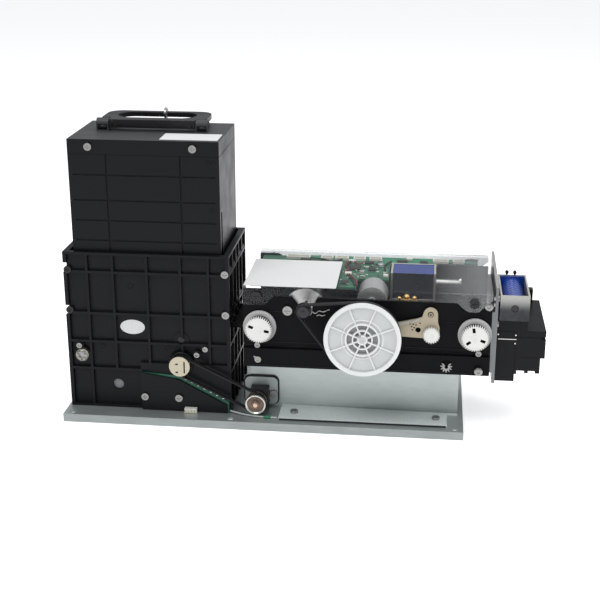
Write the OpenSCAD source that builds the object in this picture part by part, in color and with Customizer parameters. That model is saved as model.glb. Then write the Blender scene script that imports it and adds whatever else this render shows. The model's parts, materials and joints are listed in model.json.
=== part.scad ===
// Motorised media validator with a removable feed cassette on a common base plate.
// Frame: +X runs along the unit towards the bezel, +Z is up, the near side faces -Y.
// Origin: centre of the base plate, on the plane it rests on.

/* [Base and stand] */
// Width of the base plate
base_w = 108; // [104:1:140]
// Height of the folded base plate
base_h = 6; // [5:0.5:12]
// Thickness of the sheet steel
sheet_t = 1.5; // [1:0.1:2]
// Diameter of the fixing holes
fix_d = 4.5; // [3:0.1:5]
// Height of the stand under the transport
stand_h = 40; // [38:1:60]

/* [Media path] */
// Width of the media
media_w = 54; // [50:0.5:54]
// Length of the media
media_l = 85.6; // [80:0.2:88]
// Thickness of the media
media_t = 0.76; // [0.5:0.02:0.84]
// Clear height of the media slot
slot_h = 1.4; // [1.2:0.1:2]
// Height of the media plane above the transport's underside
path_rise = 24.8; // [24:0.2:28]

/* [Stacker frame] */
// Height of the frame
frame_h = 118; // [112:1:150]
// Thickness of the frame's skin
skin_t = 1.5; // [1.2:0.1:2]
// Thickness of a rib
rib_t = 1.8; // [1.2:0.1:3]
// Depth of the ribs in front of the skin
rib_d = 2.6; // [2:0.1:5]
// Diameter of the pick roller
pick_d = 21; // [18:0.5:22]
// Diameter of the drive disc on the frame's face
disc_d = 15; // [12:0.5:16]

/* [Cassette] */
// Height of the cassette body under its lid
cass_h = 125.3; // [110:1:160]
// Height of the cassette's lid
lid_h = 10.5; // [8:0.5:16]
// Wall thickness of the cassette
cass_wall = 2.5; // [1.5:0.1:3]
// Length of the handle loop
handle_l = 76; // [60:1:90]
// Reach of the handle from its hinge
handle_reach = 33; // [28:1:34]

/* [Transport] */
// Length of the transport
trans_l = 172; // [168:1:200]
// Distance between the outer faces of the side plates
trans_w = 87; // [84:1:96]
// Thickness of the side plates
side_t = 3; // [2:0.5:4]
// Height of the cover's top above the transport's underside
cover_rise = 60; // [60:1:70]
// Thickness of the clear cover
cover_t = 1.5; // [1:0.1:2]
// Height of the roller axes above the media plane
axis_rise = 5.2; // [5:0.1:5.6]
// Diameter of the roller shafts
shaft_d = 4; // [3:0.5:4]
// Diameter of the large drive wheel
wheel_d = 53; // [40:1:54]
// Diameter of the motor pulley
pulley_d = 8; // [6:0.5:10]
// Number of teeth on the hand gears
hand_teeth = 36; // [24:1:44]

/* [Bezel] */
// Length of the housing in front of the front plate
housing_l = 14; // [13:0.5:20]
// Length of the mouth in front of the housing
mouth_l = 20.5; // [16:0.5:30]
// Travel of the shutter
shutter_travel = 4; // [3:0.5:5]

/* [Fits] */
// Radial clearance of a shaft in its bearing hole
run_fit = 0.06; // [0.02:0.01:0.09]
// Gap between pieces that slide past each other
slide_gap = 0.4; // [0.3:0.05:0.5]
// Gap between a belt and its pulleys
belt_gap = 0.15; // [0.1:0.05:0.2]

/* [Hidden] */
$fn = 48;

// A cut runs past the face it opens by this much
over = 1;

// ---- Heights ----
trans_z0 = base_h + stand_h;
media_z = trans_z0 + path_rise;
slot_z0 = media_z - slot_h / 2;
slot_z1 = media_z + slot_h / 2;
axis_z = media_z + axis_rise;
cover_z1 = trans_z0 + cover_rise;
frame_z0 = base_h;
frame_z1 = frame_z0 + frame_h;

// ---- Widths and lengths that follow from the media ----
cass_l = media_l + 20.4;
cass_w = media_w + 13;
bezel_w = cass_w;
end_gap = 2.4;
frame_l = cass_l + 2 * (skin_t + rib_d + end_gap);
frame_w = cass_w + 2 * (slide_gap + skin_t + rib_d);

// ---- Places along the base ----
stack_gap = 11;
base_l = frame_l + stack_gap + trans_l - 14;
fix_l = base_l - 12;
fix_w = base_w - 10;
stack_x0 = -base_l / 2 + 2;
stack_x1 = stack_x0 + frame_l;
trans_x0 = stack_x1 + stack_gap;
trans_x1 = trans_x0 + trans_l;
left_x = trans_x0 + 11.4;
centre_x = trans_x0 + 84.5;
head_x = centre_x + 13;
third_x = trans_x1 - 40.9;
right_x = trans_x1 - 11.1;

// ---- Transport widths and screws ----
side_y = trans_w / 2;
side_in = side_y - side_t;
slab_out = 2;
cover_y = side_y + slide_gap + cover_t;
screw_r = 1.5;
head_r = 2.7;
head_h = 1.8;

// ---- Rollers and gears of the transport ----
shaft_r = shaft_d / 2;
bore_r = shaft_r + run_fit;
roller_r = axis_z - media_z - media_t / 2;
pinch_r = 4;
pinch_z = media_z - media_t / 2 - pinch_r;
pinch_axle_r = 1.5;
sleeve_y = 15;
sleeve_w = 12;
hand_r = 9.6;
hand_y0 = -side_y - 8.5;
hand_t = 2.2;
hand_drum_r = 8.8;
flange_r = 11.7;
flange_y = [-side_y - 2.3, -side_y - 0.4];
wheel_t = 8;
wheel_y0 = -side_y - 20.5;
wheel_y1 = wheel_y0 + wheel_t;
belt_w = 4;
belt_t = 1;
belt_y0 = wheel_y0 + 2;
groove_d = 1.2;
rear_pulley_r = 6;
rear_y0 = side_y + 2;
rear_w = 6;
shaft_rear_y = rear_y0 + rear_w + 1;

// ---- Motors ----
motor_x = trans_x0 + 43.8;
motor_z = cover_z1 - 12;
motor_r = 9.8;
motor_l = 30;
motor_shaft_r = 1;
aux_x = trans_x0 + 89;
aux_r = 10.5;
aux_z = cover_z1 - cover_t - aux_r - 0.5;
aux_l = 22;
wheel_groove_r = wheel_d / 2 - groove_d;

// ---- Stacker ----
frame_y = frame_w / 2;
stack_cx = stack_x0 + frame_l / 2 + 0.55;
floor_z = media_z - media_t / 2;
pick_x = stack_cx + 22.95;
pick_z = floor_z - pick_d / 2 - 0.1;
drive_teeth = 21;
pick_teeth = 13;
drive_gear_r = drive_teeth / 2;
pick_gear_r = pick_teeth / 2;
drive_z = pick_z - drive_gear_r - pick_gear_r;
feed_shaft_r = 2.5;
disc_t = 6;
disc_y0 = -frame_y - 7;
feed_belt_y0 = disc_y0 + 1.2;
feed_belt_w = 3.6;
cross_x = stack_x0 + 10.3;
cross_z = frame_z0 + 40.4;
slot_half = media_w / 2 + 1;

// ---- Feed drive ----
feed_x = stack_x1 + 18.7;
feed_z = base_h + 10;
feed_pulley_r = 6.2;
feed_flange_r = 7.5;
disc_groove_r = disc_d / 2 - 1.3;
web_y = 21;
mount_y0 = -web_y - sheet_t - 2;
feed_motor_r = 10;
feed_motor_z = base_h + sheet_t + feed_motor_r + 0.5;

// ---- Cassette ----
cass_x0 = stack_cx - cass_l / 2;
cass_x1 = cass_x0 + cass_l;
cass_y = cass_w / 2;
cass_floor_t = 2.4;
cass_z0 = floor_z - cass_floor_t;
cass_z1 = cass_z0 + cass_h;
lid_z1 = cass_z1 + lid_h;
guide_x = media_l / 2 + 1;
guide_y = media_w / 2 + 1;
lug_t = 8.7;
lug_r = 3.5;
hinge_z = lid_z1 + 5.2;
hinge_y = 0.5;
hinge_r = 1.5;
handle_x0 = stack_cx - handle_l / 2;
handle_x1 = stack_cx + handle_l / 2;
handle_z0 = lid_z1 + 2.3;
handle_z1 = lid_z1 + 8.2;
handle_y0 = -2.6;
loop_t = 3.4;
loop_y0 = hinge_y + lug_r + 0.5;
loop_front_t = 1.5;
loop_back_t = 5;
grip_y = [loop_y0 + loop_front_t, handle_reach - loop_back_t];
handle_bar = 9.4;
lug_inset = 6.7;
key_x = stack_cx + 5.5;
key_to_bar = 13;
key_y = handle_reach - key_to_bar;
plug_r = 3.5;

// ---- Front ----
front_x0 = trans_x1 + 1.9;
front_t = 2;
front_x1 = front_x0 + front_t;
bezel_x1 = front_x1 + housing_l;
mouth_x1 = bezel_x1 + mouth_l;
bezel_y = bezel_w / 2;
housing_z0 = trans_z0 - 8;
housing_z1 = cover_z1 - 33;
mouth_z1 = housing_z1 + 3;
shutter_x0 = front_x1 + 5;
shutter_t = 1.5;
shutter_w = media_w + 4;
sol_w = 20;
sol_h = 18;
sol_l = 48;
sol_x0 = front_x1 + 1.2;
sol_z1 = cover_z1 - 1.5;
sol_z0 = sol_z1 - sol_h;
sol_y0 = -side_y + 0.5;
sol_y1 = sol_y0 + sol_l;
sol_cx = sol_x0 + sol_w / 2;
sol_cz = sol_z0 + sol_h / 2;
plunger_r = 3;
crank_y = sol_y1 + 12;
crank_z = sol_cz - 13;
crank_pin_r = 1.5;
crank_reach = 9;
crank_x = [shutter_x0 + 3, shutter_x0 + 5];

// ---- Helpers ----

// Box between two corners
module block(x, y, z) {
    translate([x[0], y[0], z[0]]) cube([x[1] - x[0], y[1] - y[0], z[1] - z[0]]);
}

// Cylinders along each axis, from the first value of a range to the second
module rod_x(y, z, r, x) {
    translate([x[0], y, z]) rotate([0, 90, 0]) cylinder(r = r, h = x[1] - x[0]);
}
module rod_y(x, z, r, y) {
    translate([x, y[0], z]) rotate([-90, 0, 0]) cylinder(r = r, h = y[1] - y[0]);
}
module rod_z(x, y, r, z) {
    translate([x, y, z[0]]) cylinder(r = r, h = z[1] - z[0]);
}

// Flat outline in the XZ plane, thick between two Y values
module wall_y(y) {
    translate([0, y[1], 0]) rotate([90, 0, 0]) linear_extrude(y[1] - y[0]) children();
}

// Rounded rectangle between two corners
module rounded(x, y, r) {
    translate([x[0] + r, y[0]]) square([x[1] - x[0] - 2 * r, y[1] - y[0]]);
    translate([x[0], y[0] + r]) square([x[1] - x[0], y[1] - y[0] - 2 * r]);
    for (px = [x[0] + r, x[1] - r], py = [y[0] + r, y[1] - r])
        translate([px, py]) circle(r);
}

// Toothed outline round the origin
module teeth(count, tip_r, root_r, phase = 0) {
    step = 360 / count;
    polygon([for (i = [0 : count - 1], e = [[-0.27, root_r], [-0.13, tip_r], [0.13, tip_r], [0.27, root_r]])
        e[1] * [cos((i + e[0]) * step + phase), sin((i + e[0]) * step + phase)]]);
}

// Pan-head screw along Y: the head's outer face is at y, the shank goes towards +Y when dir is 1
module screw_y(x, y, z, shank, dir = 1, head = head_r) {
    difference() {
        rod_y(x, z, head, dir > 0 ? [y, y + head_h] : [y - head_h, y]);
        for (a = [0, 90])
            translate([x, y, z]) rotate([0, a, 0]) cube([head * 1.2, 1.2, 0.7], center = true);
    }
    rod_y(x, z, screw_r, dir > 0 ? [y + head_h, y + head_h + shank] : [y - head_h - shank, y - head_h]);
}

// Pan-head screw that points down
module screw_z(x, y, z, shank) {
    difference() {
        rod_z(x, y, head_r, [z - head_h, z]);
        for (a = [0, 90])
            translate([x, y, z]) rotate([0, 0, a]) cube([head_r * 1.2, 0.7, 1.2], center = true);
    }
    rod_z(x, y, screw_r, [z - head_h - shank, z - head_h]);
}

// Points on an arc round c, from one angle to another
function arc(c, r, from, to, steps) =
    [for (i = [0 : steps]) c + r * [cos(from + (to - from) * i / steps),
        sin(from + (to - from) * i / steps)]];

// Closed loop round two pulleys: centres a and b, radii ra and rb to the loop's inside
module loop_outline(a, ra, b, rb) {
    dir = atan2(b[1] - a[1], b[0] - a[0]);
    lean = acos((ra - rb) / norm(b - a));
    polygon(concat(arc(a, ra, dir + lean, dir + 360 - lean, 40), arc(b, rb, dir - lean, dir + lean, 20)));
}
module belt(a, ra, b, rb, y) {
    wall_y(y) difference() {
        loop_outline(a, ra + belt_t, b, rb + belt_t);
        loop_outline(a, ra, b, rb);
    }
}

// ---- Base and stand ----

stand_x0 = feed_x - 6.5;
stand_x1 = trans_x1 - 20;
foot_x0 = stand_x0 + 23;
foot_x1 = stand_x1 - 7.6;
foot_y = 46.5;
foot_screws = [foot_x0 + 10.4, foot_x1 - 7.8];
mid_fix_x = stack_x1 + 1;

module base_plate() {
    color("silver") difference() {
        block([-base_l / 2, base_l / 2], [-base_w / 2, base_w / 2], [0, base_h]);
        block([-base_l / 2 + sheet_t, base_l / 2 - sheet_t], [-base_w / 2 + sheet_t, base_w / 2 - sheet_t],
            [-over, base_h - sheet_t]);
        for (x = [-fix_l / 2, fix_l / 2], y = [-fix_w / 2, fix_w / 2])
            rod_z(x, y, fix_d / 2, [-over, base_h + over]);
        for (y = [-fix_w / 2, fix_w / 2])
            rod_z(mid_fix_x, y, fix_d / 2, [-over, base_h + over]);
        for (x = foot_screws, y = [-foot_y + 10, foot_y - 10])
            rod_z(x, y, screw_r, [-over, base_h + over]);
        for (x = frame_foot_x, y = [-frame_foot_y, frame_foot_y])
            rod_z(x, y, screw_r, [-over, base_h + over]);
    }
}

module transport_bracket() {
    color("lightgray") difference() {
        union() {
            for (s = [-1, 1]) {
                block([stand_x0, stand_x1], s > 0 ? [web_y, web_y + sheet_t] : [-web_y - sheet_t, -web_y],
                    [base_h, trans_z0]);
                block([foot_x0, foot_x1], s > 0 ? [web_y, foot_y] : [-foot_y, -web_y],
                    [base_h, base_h + sheet_t]);
                block([foot_x1, stand_x1], s > 0 ? [web_y, web_y + 5] : [-web_y - 5, -web_y],
                    [base_h, base_h + sheet_t]);
            }
            block([stand_x0, stand_x1], [-web_y - sheet_t, web_y + sheet_t], [trans_z0 - sheet_t, trans_z0]);
        }
        for (x = foot_screws, y = [-foot_y + 10, foot_y - 10])
            rod_z(x, y, screw_r, [base_h - over, base_h + sheet_t + over]);
        for (x = stand_screws)
            rod_z(x, 0, screw_r, [trans_z0 - sheet_t - over, trans_z0 + over]);
        rod_y(feed_x, feed_z, 5, [-web_y - sheet_t - over, -web_y + over]);
        rod_y(mount_screw_x, mount_screw_z, screw_r, [-web_y - sheet_t - over, -web_y + over]);
    }
}
stand_screws = [stand_x0 + 30, stand_x1 - 30];
mount_screw_x = feed_x + 10.6;
mount_screw_z = feed_z + 0.5;

// Screws of the base and of the stacker frame, all of one kind
module machine_screws() {
    color("silver") {
        for (x = foot_screws, y = [-foot_y + 10, foot_y - 10])
            screw_z(x, y, base_h + sheet_t + head_h, sheet_t * 2);
        screw_y(mount_screw_x, mount_y0 - head_h, mount_screw_z, 2 + sheet_t);
        for (x = frame_foot_x, y = [-frame_foot_y, frame_foot_y])
            rod_z(x, y, screw_r, [base_h - sheet_t, base_h + 8]);
        for (z = joint_screw_z, x = joint_screw_x)
            screw_y(x, -frame_y + joint_recess - head_h, frame_z0 + z, 12);
        for (p = board_screws)
            screw_y(p[0], -frame_y - board_t - plate_t - head_h, p[1], board_t + plate_t + rib_d - 0.6);
        for (p = face_screws)
            screw_y(p[0], -frame_y - head_h, p[1], rib_d, 1, 2);
    }
}
frame_foot_x = [stack_x0 + 12, stack_x1 - 12];
frame_foot_y = frame_y - rib_d - skin_t - 9;

// Rounded plate that stands off the bracket and carries the feed motor
module motor_mount_plate() {
    color("lightslategray") difference() {
        union() {
            wall_y([mount_y0, mount_y0 + 2])
                rounded([feed_x - 10.5, feed_x + 13.5], [base_h + sheet_t + 0.3, base_h + 23], 4);
        }
        rod_y(feed_x, feed_z, 2.6, [mount_y0 - over, mount_y0 + 2 + over]);
        rod_y(mount_screw_x, mount_screw_z, screw_r, [mount_y0 - over, mount_y0 + 2 + over]);
    }
}

// Gear head in front of the mount plate, motor can behind it
gearhead_y0 = mount_y0 - 8;
module feed_motor() {
    color("dimgray") difference() {
        union() {
            block([feed_x - 5.5, feed_x + 7.5], [gearhead_y0, mount_y0], [feed_z - 6, feed_z + 7]);
            rod_y(feed_x, feed_z, 2.5, [mount_y0, -web_y + over]);
            rod_y(feed_x, feed_motor_z, feed_motor_r, [-web_y + 0.2, -web_y + 26]);
        }
        rod_y(feed_x, feed_z, 1.5 + run_fit, [gearhead_y0 - over, -web_y]);
    }
}

feed_pulley_y0 = feed_belt_y0 - 1.5;
module feed_pulley() {
    color("rosybrown") {
        rod_y(feed_x, feed_z, 1.5, [feed_pulley_y0 - 1.5, mount_y0 - 2]);
        rod_y(feed_x, feed_z, feed_flange_r, [feed_pulley_y0, feed_pulley_y0 + 1]);
        rod_y(feed_x, feed_z, feed_pulley_r, [feed_pulley_y0 + 1, feed_pulley_y0 + 6]);
        rod_y(feed_x, feed_z, feed_flange_r, [feed_pulley_y0 + 6, feed_pulley_y0 + 7]);
    }
}

module feed_belt() {
    color("#1a1a1a") belt([feed_x, feed_z], feed_pulley_r + belt_gap, [pick_x, drive_z],
        disc_groove_r + belt_gap, [feed_belt_y0, feed_belt_y0 + feed_belt_w]);
}

// ---- Stacker frame ----

rib_x = [16, 34.7, 59.2, 83.2, frame_l - 15.8];
rib_z = [31, 52, 73.5, 104.5];
notch_z = [71, 103];
joint_screw_z = [74.5, 104.8];
joint_screw_x = [stack_x0 + 3, stack_x1 - 3];
joint_boss_r = 2.6;
joint_recess = 1.6;
face_screws = [[stack_x0 + 8.7, cross_z + 7.5], [pick_x + 18, frame_z0 + 48.7],
    [pick_x + 11.7, frame_z0 + 44.1]];
ledge_z = cass_z0 - 0.3;
board_x0 = pick_x - 30;
board_z1 = frame_z0 + 30;

// Outer skin of one half, for the half on the -Y side
module frame_shell() {
    skin_y = frame_y - rib_d;
    difference() {
        union() {
            // Long face and the two ends
            block([stack_x0 + rib_d, stack_x1 - rib_d], [-skin_y, -skin_y + skin_t], [frame_z0, frame_z1]);
            block([stack_x0 + rib_d, stack_x0 + rib_d + skin_t], [-skin_y, 0], [frame_z0, frame_z1]);
            block([stack_x1 - rib_d - skin_t, stack_x1 - rib_d], [-skin_y, 0], [frame_z0, frame_z1]);
            // Rims at the top and the bottom
            difference() {
                block([stack_x0, stack_x1], [-frame_y, 0], [frame_z1 - rib_t, frame_z1]);
                block([stack_x0 + rib_d, stack_x1 - rib_d], [-skin_y, over],
                    [frame_z1 - rib_t - over, frame_z1 + over]);
            }
            block([stack_x0, stack_x1], [-frame_y, -skin_y + skin_t], [frame_z0, frame_z0 + rib_t]);
            // Upright ribs on the long face, the first one at each end included
            for (x = concat([0], rib_x, [frame_l - rib_t]))
                block([stack_x0 + x, stack_x0 + x + rib_t], [-frame_y, -skin_y],
                    [frame_z0 + (x > 20 && x < frame_l - 12 ? rib_z[0] : 0), frame_z1]);
            // Level ribs
            for (z = rib_z)
                block([stack_x0, stack_x1], [-frame_y, -skin_y], [frame_z0 + z - rib_t, frame_z0 + z]);
            // Ribs on the ends
            for (y = [-skin_y + 14, -7], x = [[stack_x0, stack_x0 + rib_d], [stack_x1 - rib_d, stack_x1]])
                block(x, [y, y + rib_t], [frame_z0, frame_z1]);
            for (z = rib_z, x = [[stack_x0, stack_x0 + rib_d], [stack_x1 - rib_d, stack_x1]])
                block(x, [-frame_y, 0], [frame_z0 + z - rib_t, frame_z0 + z]);
            for (x = [stack_x0, stack_x1 - rib_d])
                block([x, x + rib_d], [-frame_y, -frame_y + rib_t], [frame_z0, frame_z1]);
            // Ledge that the cassette stands on
            block([stack_x0 + rib_d, stack_x1 - rib_d], [-skin_y, -skin_y + 6], [ledge_z - 3, ledge_z]);
            // Feet for the base screws
            for (x = frame_foot_x)
                block([x - 6, x + 6], [-skin_y, -frame_foot_y + 5], [frame_z0, frame_z0 + 8]);
            // Bosses of the screws that join the halves
            for (z = joint_screw_z, x = joint_screw_x)
                rod_y(x, frame_z0 + z, joint_boss_r, [-frame_y + joint_recess, 0]);
            // Bearing bosses
            rod_y(pick_x, pick_z, 6, [-skin_y - 0.6, -skin_y + 3]);
            rod_y(pick_x, drive_z, 6, [-frame_y, -skin_y + 3]);
            rod_y(cross_x, cross_z, 6, [-frame_y, -skin_y + 3]);
        }
        // Media gate in the end that faces the transport
        block([stack_x1 - rib_d - skin_t - 8, stack_x1 + over], [-slot_half, over],
            [slot_z0 - 1, slot_z1 + 1]);
        // Windows in the ends
        for (z = [rib_z[0] + 3, rib_z[2] + 5])
            block([stack_x1 - rib_d - skin_t - over, stack_x1 - rib_d + over], [-skin_y + 18, -9],
                [frame_z0 + z, frame_z0 + z + 14]);
        // Edge notches
        for (z = notch_z)
            block([stack_x0 - over, stack_x0 + 3.5], [-frame_y - over, -frame_y + 7],
                [frame_z0 + z, frame_z0 + z + 7]);
        // Bores
        rod_y(pick_x, pick_z, feed_shaft_r + run_fit, [-frame_y - over, -skin_y + 4]);
        rod_y(pick_x, drive_z, feed_shaft_r + run_fit, [-frame_y - over, -skin_y + 4]);
        rod_y(cross_x, cross_z, 4.5, [-frame_y - over, -frame_y + 3]);
        rod_y(cross_x, cross_z, 2, [-frame_y - over, -skin_y + 4]);
        for (z = joint_screw_z, x = joint_screw_x) {
            rod_y(x, frame_z0 + z, screw_r + 0.1, [-frame_y - over, over]);
            rod_y(x, frame_z0 + z, head_r + 0.3, [-frame_y - over, -frame_y + joint_recess]);
        }
        for (x = frame_foot_x)
            rod_z(x, -frame_foot_y, screw_r, [frame_z0 - over, frame_z0 + 9]);
    }
}

module frame_front_half() {
    color("#232527") difference() {
        union() {
            frame_shell();
            // Flat pad behind the board
            block([board_x0, stack_x1 - 1], [-frame_y, -frame_y + rib_d], [frame_z0, board_z1 + 6]);
            for (p = face_screws)
                rod_y(p[0], p[1], 3, [-frame_y, -frame_y + rib_d]);
        }
        for (p = face_screws)
            rod_y(p[0], p[1], screw_r, [-frame_y - over, -frame_y + rib_d]);
        rod_y(stack_x0 + 35.2, frame_z0 + 17.3, 4, [-frame_y - over, -frame_y + 8]);
        rod_y(pick_x, drive_z, feed_shaft_r + run_fit, [-frame_y - over, 0]);
        for (p = board_screws)
            rod_y(p[0], p[1], screw_r, [-frame_y - over, -frame_y + rib_d]);
    }
}
board_screws = [[pick_x - 26.7, frame_z0 + 11], [pick_x - 1.7, frame_z0 + 11]];

module frame_rear_half() {
    color("#232527") mirror([0, 1, 0]) frame_shell();
}

// Circuit board on the frame's face, and the black plate that covers it
board_t = 1.2;
plate_t = 1.5;
module board_shape(edge, slope) {
    polygon([[board_x0 + edge, frame_z0 + 0.5], [board_x0 + edge, board_z1 - edge],
        [pick_x - 1 + slope, frame_z0 + 26 + slope * 2], [stack_x1 - 2 + slope, frame_z0 + 7.5 + slope * 2],
        [stack_x1 - 2 + slope, frame_z0 + 0.5]]);
}
module stacker_board() {
    color("#0c4a32") difference() {
        wall_y([-frame_y - board_t, -frame_y]) board_shape(1, 0.6);
        for (p = board_screws)
            rod_y(p[0], p[1], screw_r, [-frame_y - board_t - over, -frame_y + over]);
        rod_y(pick_x, drive_z, 6.5, [-frame_y - board_t - over, -frame_y + over]);
    }
}
module board_cover_plate() {
    color("#1d1f20") difference() {
        wall_y([-frame_y - board_t - plate_t, -frame_y - board_t]) board_shape(0.6, -0.6);
        for (p = board_screws)
            rod_y(p[0], p[1], screw_r, [-frame_y - board_t - plate_t - over, -frame_y]);
        rod_y(pick_x, drive_z, 6.5, [-frame_y - board_t - plate_t - over, -frame_y + over]);
        block([pick_x + 2.2, pick_x + 11.5], [-frame_y - 5, -frame_y - board_t + over], [0, frame_z0 + 4]);
    }
}

// Shaft across the frame with a cream bush in the front face
module cross_shaft() {
    color("beige") {
        rod_y(cross_x, cross_z, 2, [-frame_y - 1, frame_y]);
        difference() {
            rod_y(cross_x, cross_z, 4.5, [-frame_y - 1.5, -frame_y + 3]);
            rod_y(cross_x, cross_z, 2, [-frame_y - 2.5, -frame_y + 4]);
        }
    }
}

// Thin wire from the board's corner to its green sleeve at the stand's foot
wire_r = 0.7;
wire_route = [[stack_x1 - 0.6, -frame_y - 0.9, frame_z0 + 1.6],
    [stack_x1 + 3, -frame_y - 2.4, frame_z0 + 1.4],
    [stack_x1 + 9, -frame_y - 5.4, frame_z0 + 1], [stack_x1 + 19, -frame_y - 8, frame_z0 + 0.8],
    [foot_x0 - 1, -foot_y + 0.9, frame_z0 + 0.8]];
wire_rings = 24;
function bezier(p, t) = len(p) == 1 ? p[0]
    : bezier([for (i = [0 : len(p) - 2]) p[i] * (1 - t) + p[i + 1] * t], t);
function unit(v) = v / norm(v);
module tube(route, r, rings, sides = 8) {
    points = [for (i = [0 : rings]) let (
        t = i / rings,
        ahead = unit(bezier(route, min(t + 0.01, 1)) - bezier(route, max(t - 0.01, 0))),
        across = unit(cross(ahead, [0, 0, 1])),
        top = cross(across, ahead))
        for (k = [0 : sides - 1])
            bezier(route, t) + r * (cos(k * 360 / sides) * across + sin(k * 360 / sides) * top)];
    walls = [for (i = [0 : rings - 1], k = [0 : sides - 1])
        [i * sides + k, i * sides + (k + 1) % sides, (i + 1) * sides + (k + 1) % sides, (i + 1) * sides + k]];
    ends = [[for (k = [sides - 1 : -1 : 0]) k], [for (k = [0 : sides - 1]) rings * sides + k]];
    polyhedron(points, concat(walls, ends), convexity = 4);
}
module sensor_wire() {
    color("gainsboro") tube(wire_route, wire_r, wire_rings);
}

// ---- Feed rollers ----

feed_gear_y0 = -frame_y + rib_d + skin_t + 6;
module drive_shaft() {
    color("silver") rod_y(pick_x, drive_z, feed_shaft_r, [disc_y0 + 1, frame_y - 1]);
}
module drive_disc() {
    color("ivory") {
        difference() {
            union() {
                rod_y(pick_x, drive_z, disc_d / 2, [disc_y0, disc_y0 + 1]);
                rod_y(pick_x, drive_z, disc_groove_r, [disc_y0 + 1, disc_y0 + disc_t - 1]);
                rod_y(pick_x, drive_z, disc_d / 2, [disc_y0 + disc_t - 1, disc_y0 + disc_t]);
            }
            rod_y(pick_x, drive_z, feed_shaft_r, [disc_y0 + 1, disc_y0 + disc_t + over]);
            block([pick_x + 3, pick_x + 4], [disc_y0 - over, disc_y0 + 0.7], [drive_z - 5, drive_z + 4]);
            block([pick_x - 3, pick_x - 1], [disc_y0 - over, disc_y0 + 0.7], [drive_z + 1.2, drive_z + 2.4]);
            block([pick_x - 3, pick_x - 1], [disc_y0 - over, disc_y0 + 0.7], [drive_z - 5, drive_z - 3.8]);
        }
        difference() {
            translate([pick_x, feed_gear_y0 + 6, drive_z]) rotate([90, 0, 0])
                linear_extrude(6) teeth(drive_teeth, drive_gear_r + 0.8, drive_gear_r - 1.1, 90);
            rod_y(pick_x, drive_z, feed_shaft_r, [feed_gear_y0 - over, feed_gear_y0 + 6 + over]);
        }
    }
}
module pick_gear() {
    color("ivory") difference() {
        translate([pick_x, feed_gear_y0 + 6, pick_z]) rotate([90, 0, 0])
            linear_extrude(6) teeth(pick_teeth, pick_gear_r + 0.8, pick_gear_r - 1.1, -90 + 180 / pick_teeth);
        rod_y(pick_x, pick_z, feed_shaft_r, [feed_gear_y0 - over, feed_gear_y0 + 6 + over]);
    }
}
module pick_roller() {
    color("dimgray") {
        rod_y(pick_x, pick_z, feed_shaft_r, [-frame_y + rib_d - 0.6, frame_y - rib_d + 0.6]);
        for (y = [-12, 4])
            rod_y(pick_x, pick_z, pick_d / 2, [y, y + 8]);
    }
}

// ---- Cassette ----

well_x0 = pick_x - pick_d / 2 - 2;
well_x1 = pick_x + pick_d / 2 + 2;
groove_t = 0.8;
module cassette_body() {
    color("#1b1d1f") difference() {
        block([cass_x0, cass_x1], [-cass_y, cass_y], [cass_z0, cass_z1]);
        // Inside, narrowed to the media by upright guides
        difference() {
            block([cass_x0 + cass_wall, cass_x1 - cass_wall], [-cass_y + cass_wall, cass_y - cass_wall],
                [floor_z, cass_z1 + over]);
            for (y = [-20, 12])
                for (x = [[cass_x0, stack_cx - guide_x], [stack_cx + guide_x, cass_x1]])
                    block(x, [y, y + 8], [0, cass_z1 - 4]);
            for (x = [-30, 22], s = [-1, 1])
                block([stack_cx + x, stack_cx + x + 8], s > 0 ? [guide_y, cass_y] : [-cass_y, -guide_y],
                    [0, cass_z1 - 4]);
        }
        // Opening for the pick roller and the media gate
        block([well_x0, well_x1], [-14, 14], [cass_z0 - over, floor_z + over]);
        block([stack_cx + guide_x - over, cass_x1 + over], [-slot_half, slot_half],
            [floor_z, floor_z + slot_h]);
        // Shallow grooves on the outer faces
        for (z = [11.3, 29.3, 43.8, 58.3], s = [-1, 1])
            block([cass_x0 + 3, cass_x1 - 3], s > 0 ? [cass_y - groove_t, cass_y + over]
                : [-cass_y - over, -cass_y + groove_t], [cass_z1 - z - 3 - 0.6, cass_z1 - z - 3 + 0.6]);
        for (x = [27, cass_l - 27], s = [-1, 1])
            block([cass_x0 + x - 0.6, cass_x0 + x + 0.6], s > 0 ? [cass_y - groove_t, cass_y + over]
                : [-cass_y - over, -cass_y + groove_t], [cass_z0 - over, cass_z1 + over]);
        // Keyway that guides the cassette into the frame
        block([cass_x1 - 1.2, cass_x1 + over], [-cass_y + 4, -cass_y + 8], [cass_z0 - over, cass_z1 - 40]);
        for (p = lid_screw_x)
            rod_y(p, cass_z1 + 5.5, screw_r, [-cass_y - over, -cass_y + 6]);
    }
}
lid_screw_x = [cass_x0 + 15, cass_x1 - 18];
lid_lip = 5;

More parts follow.
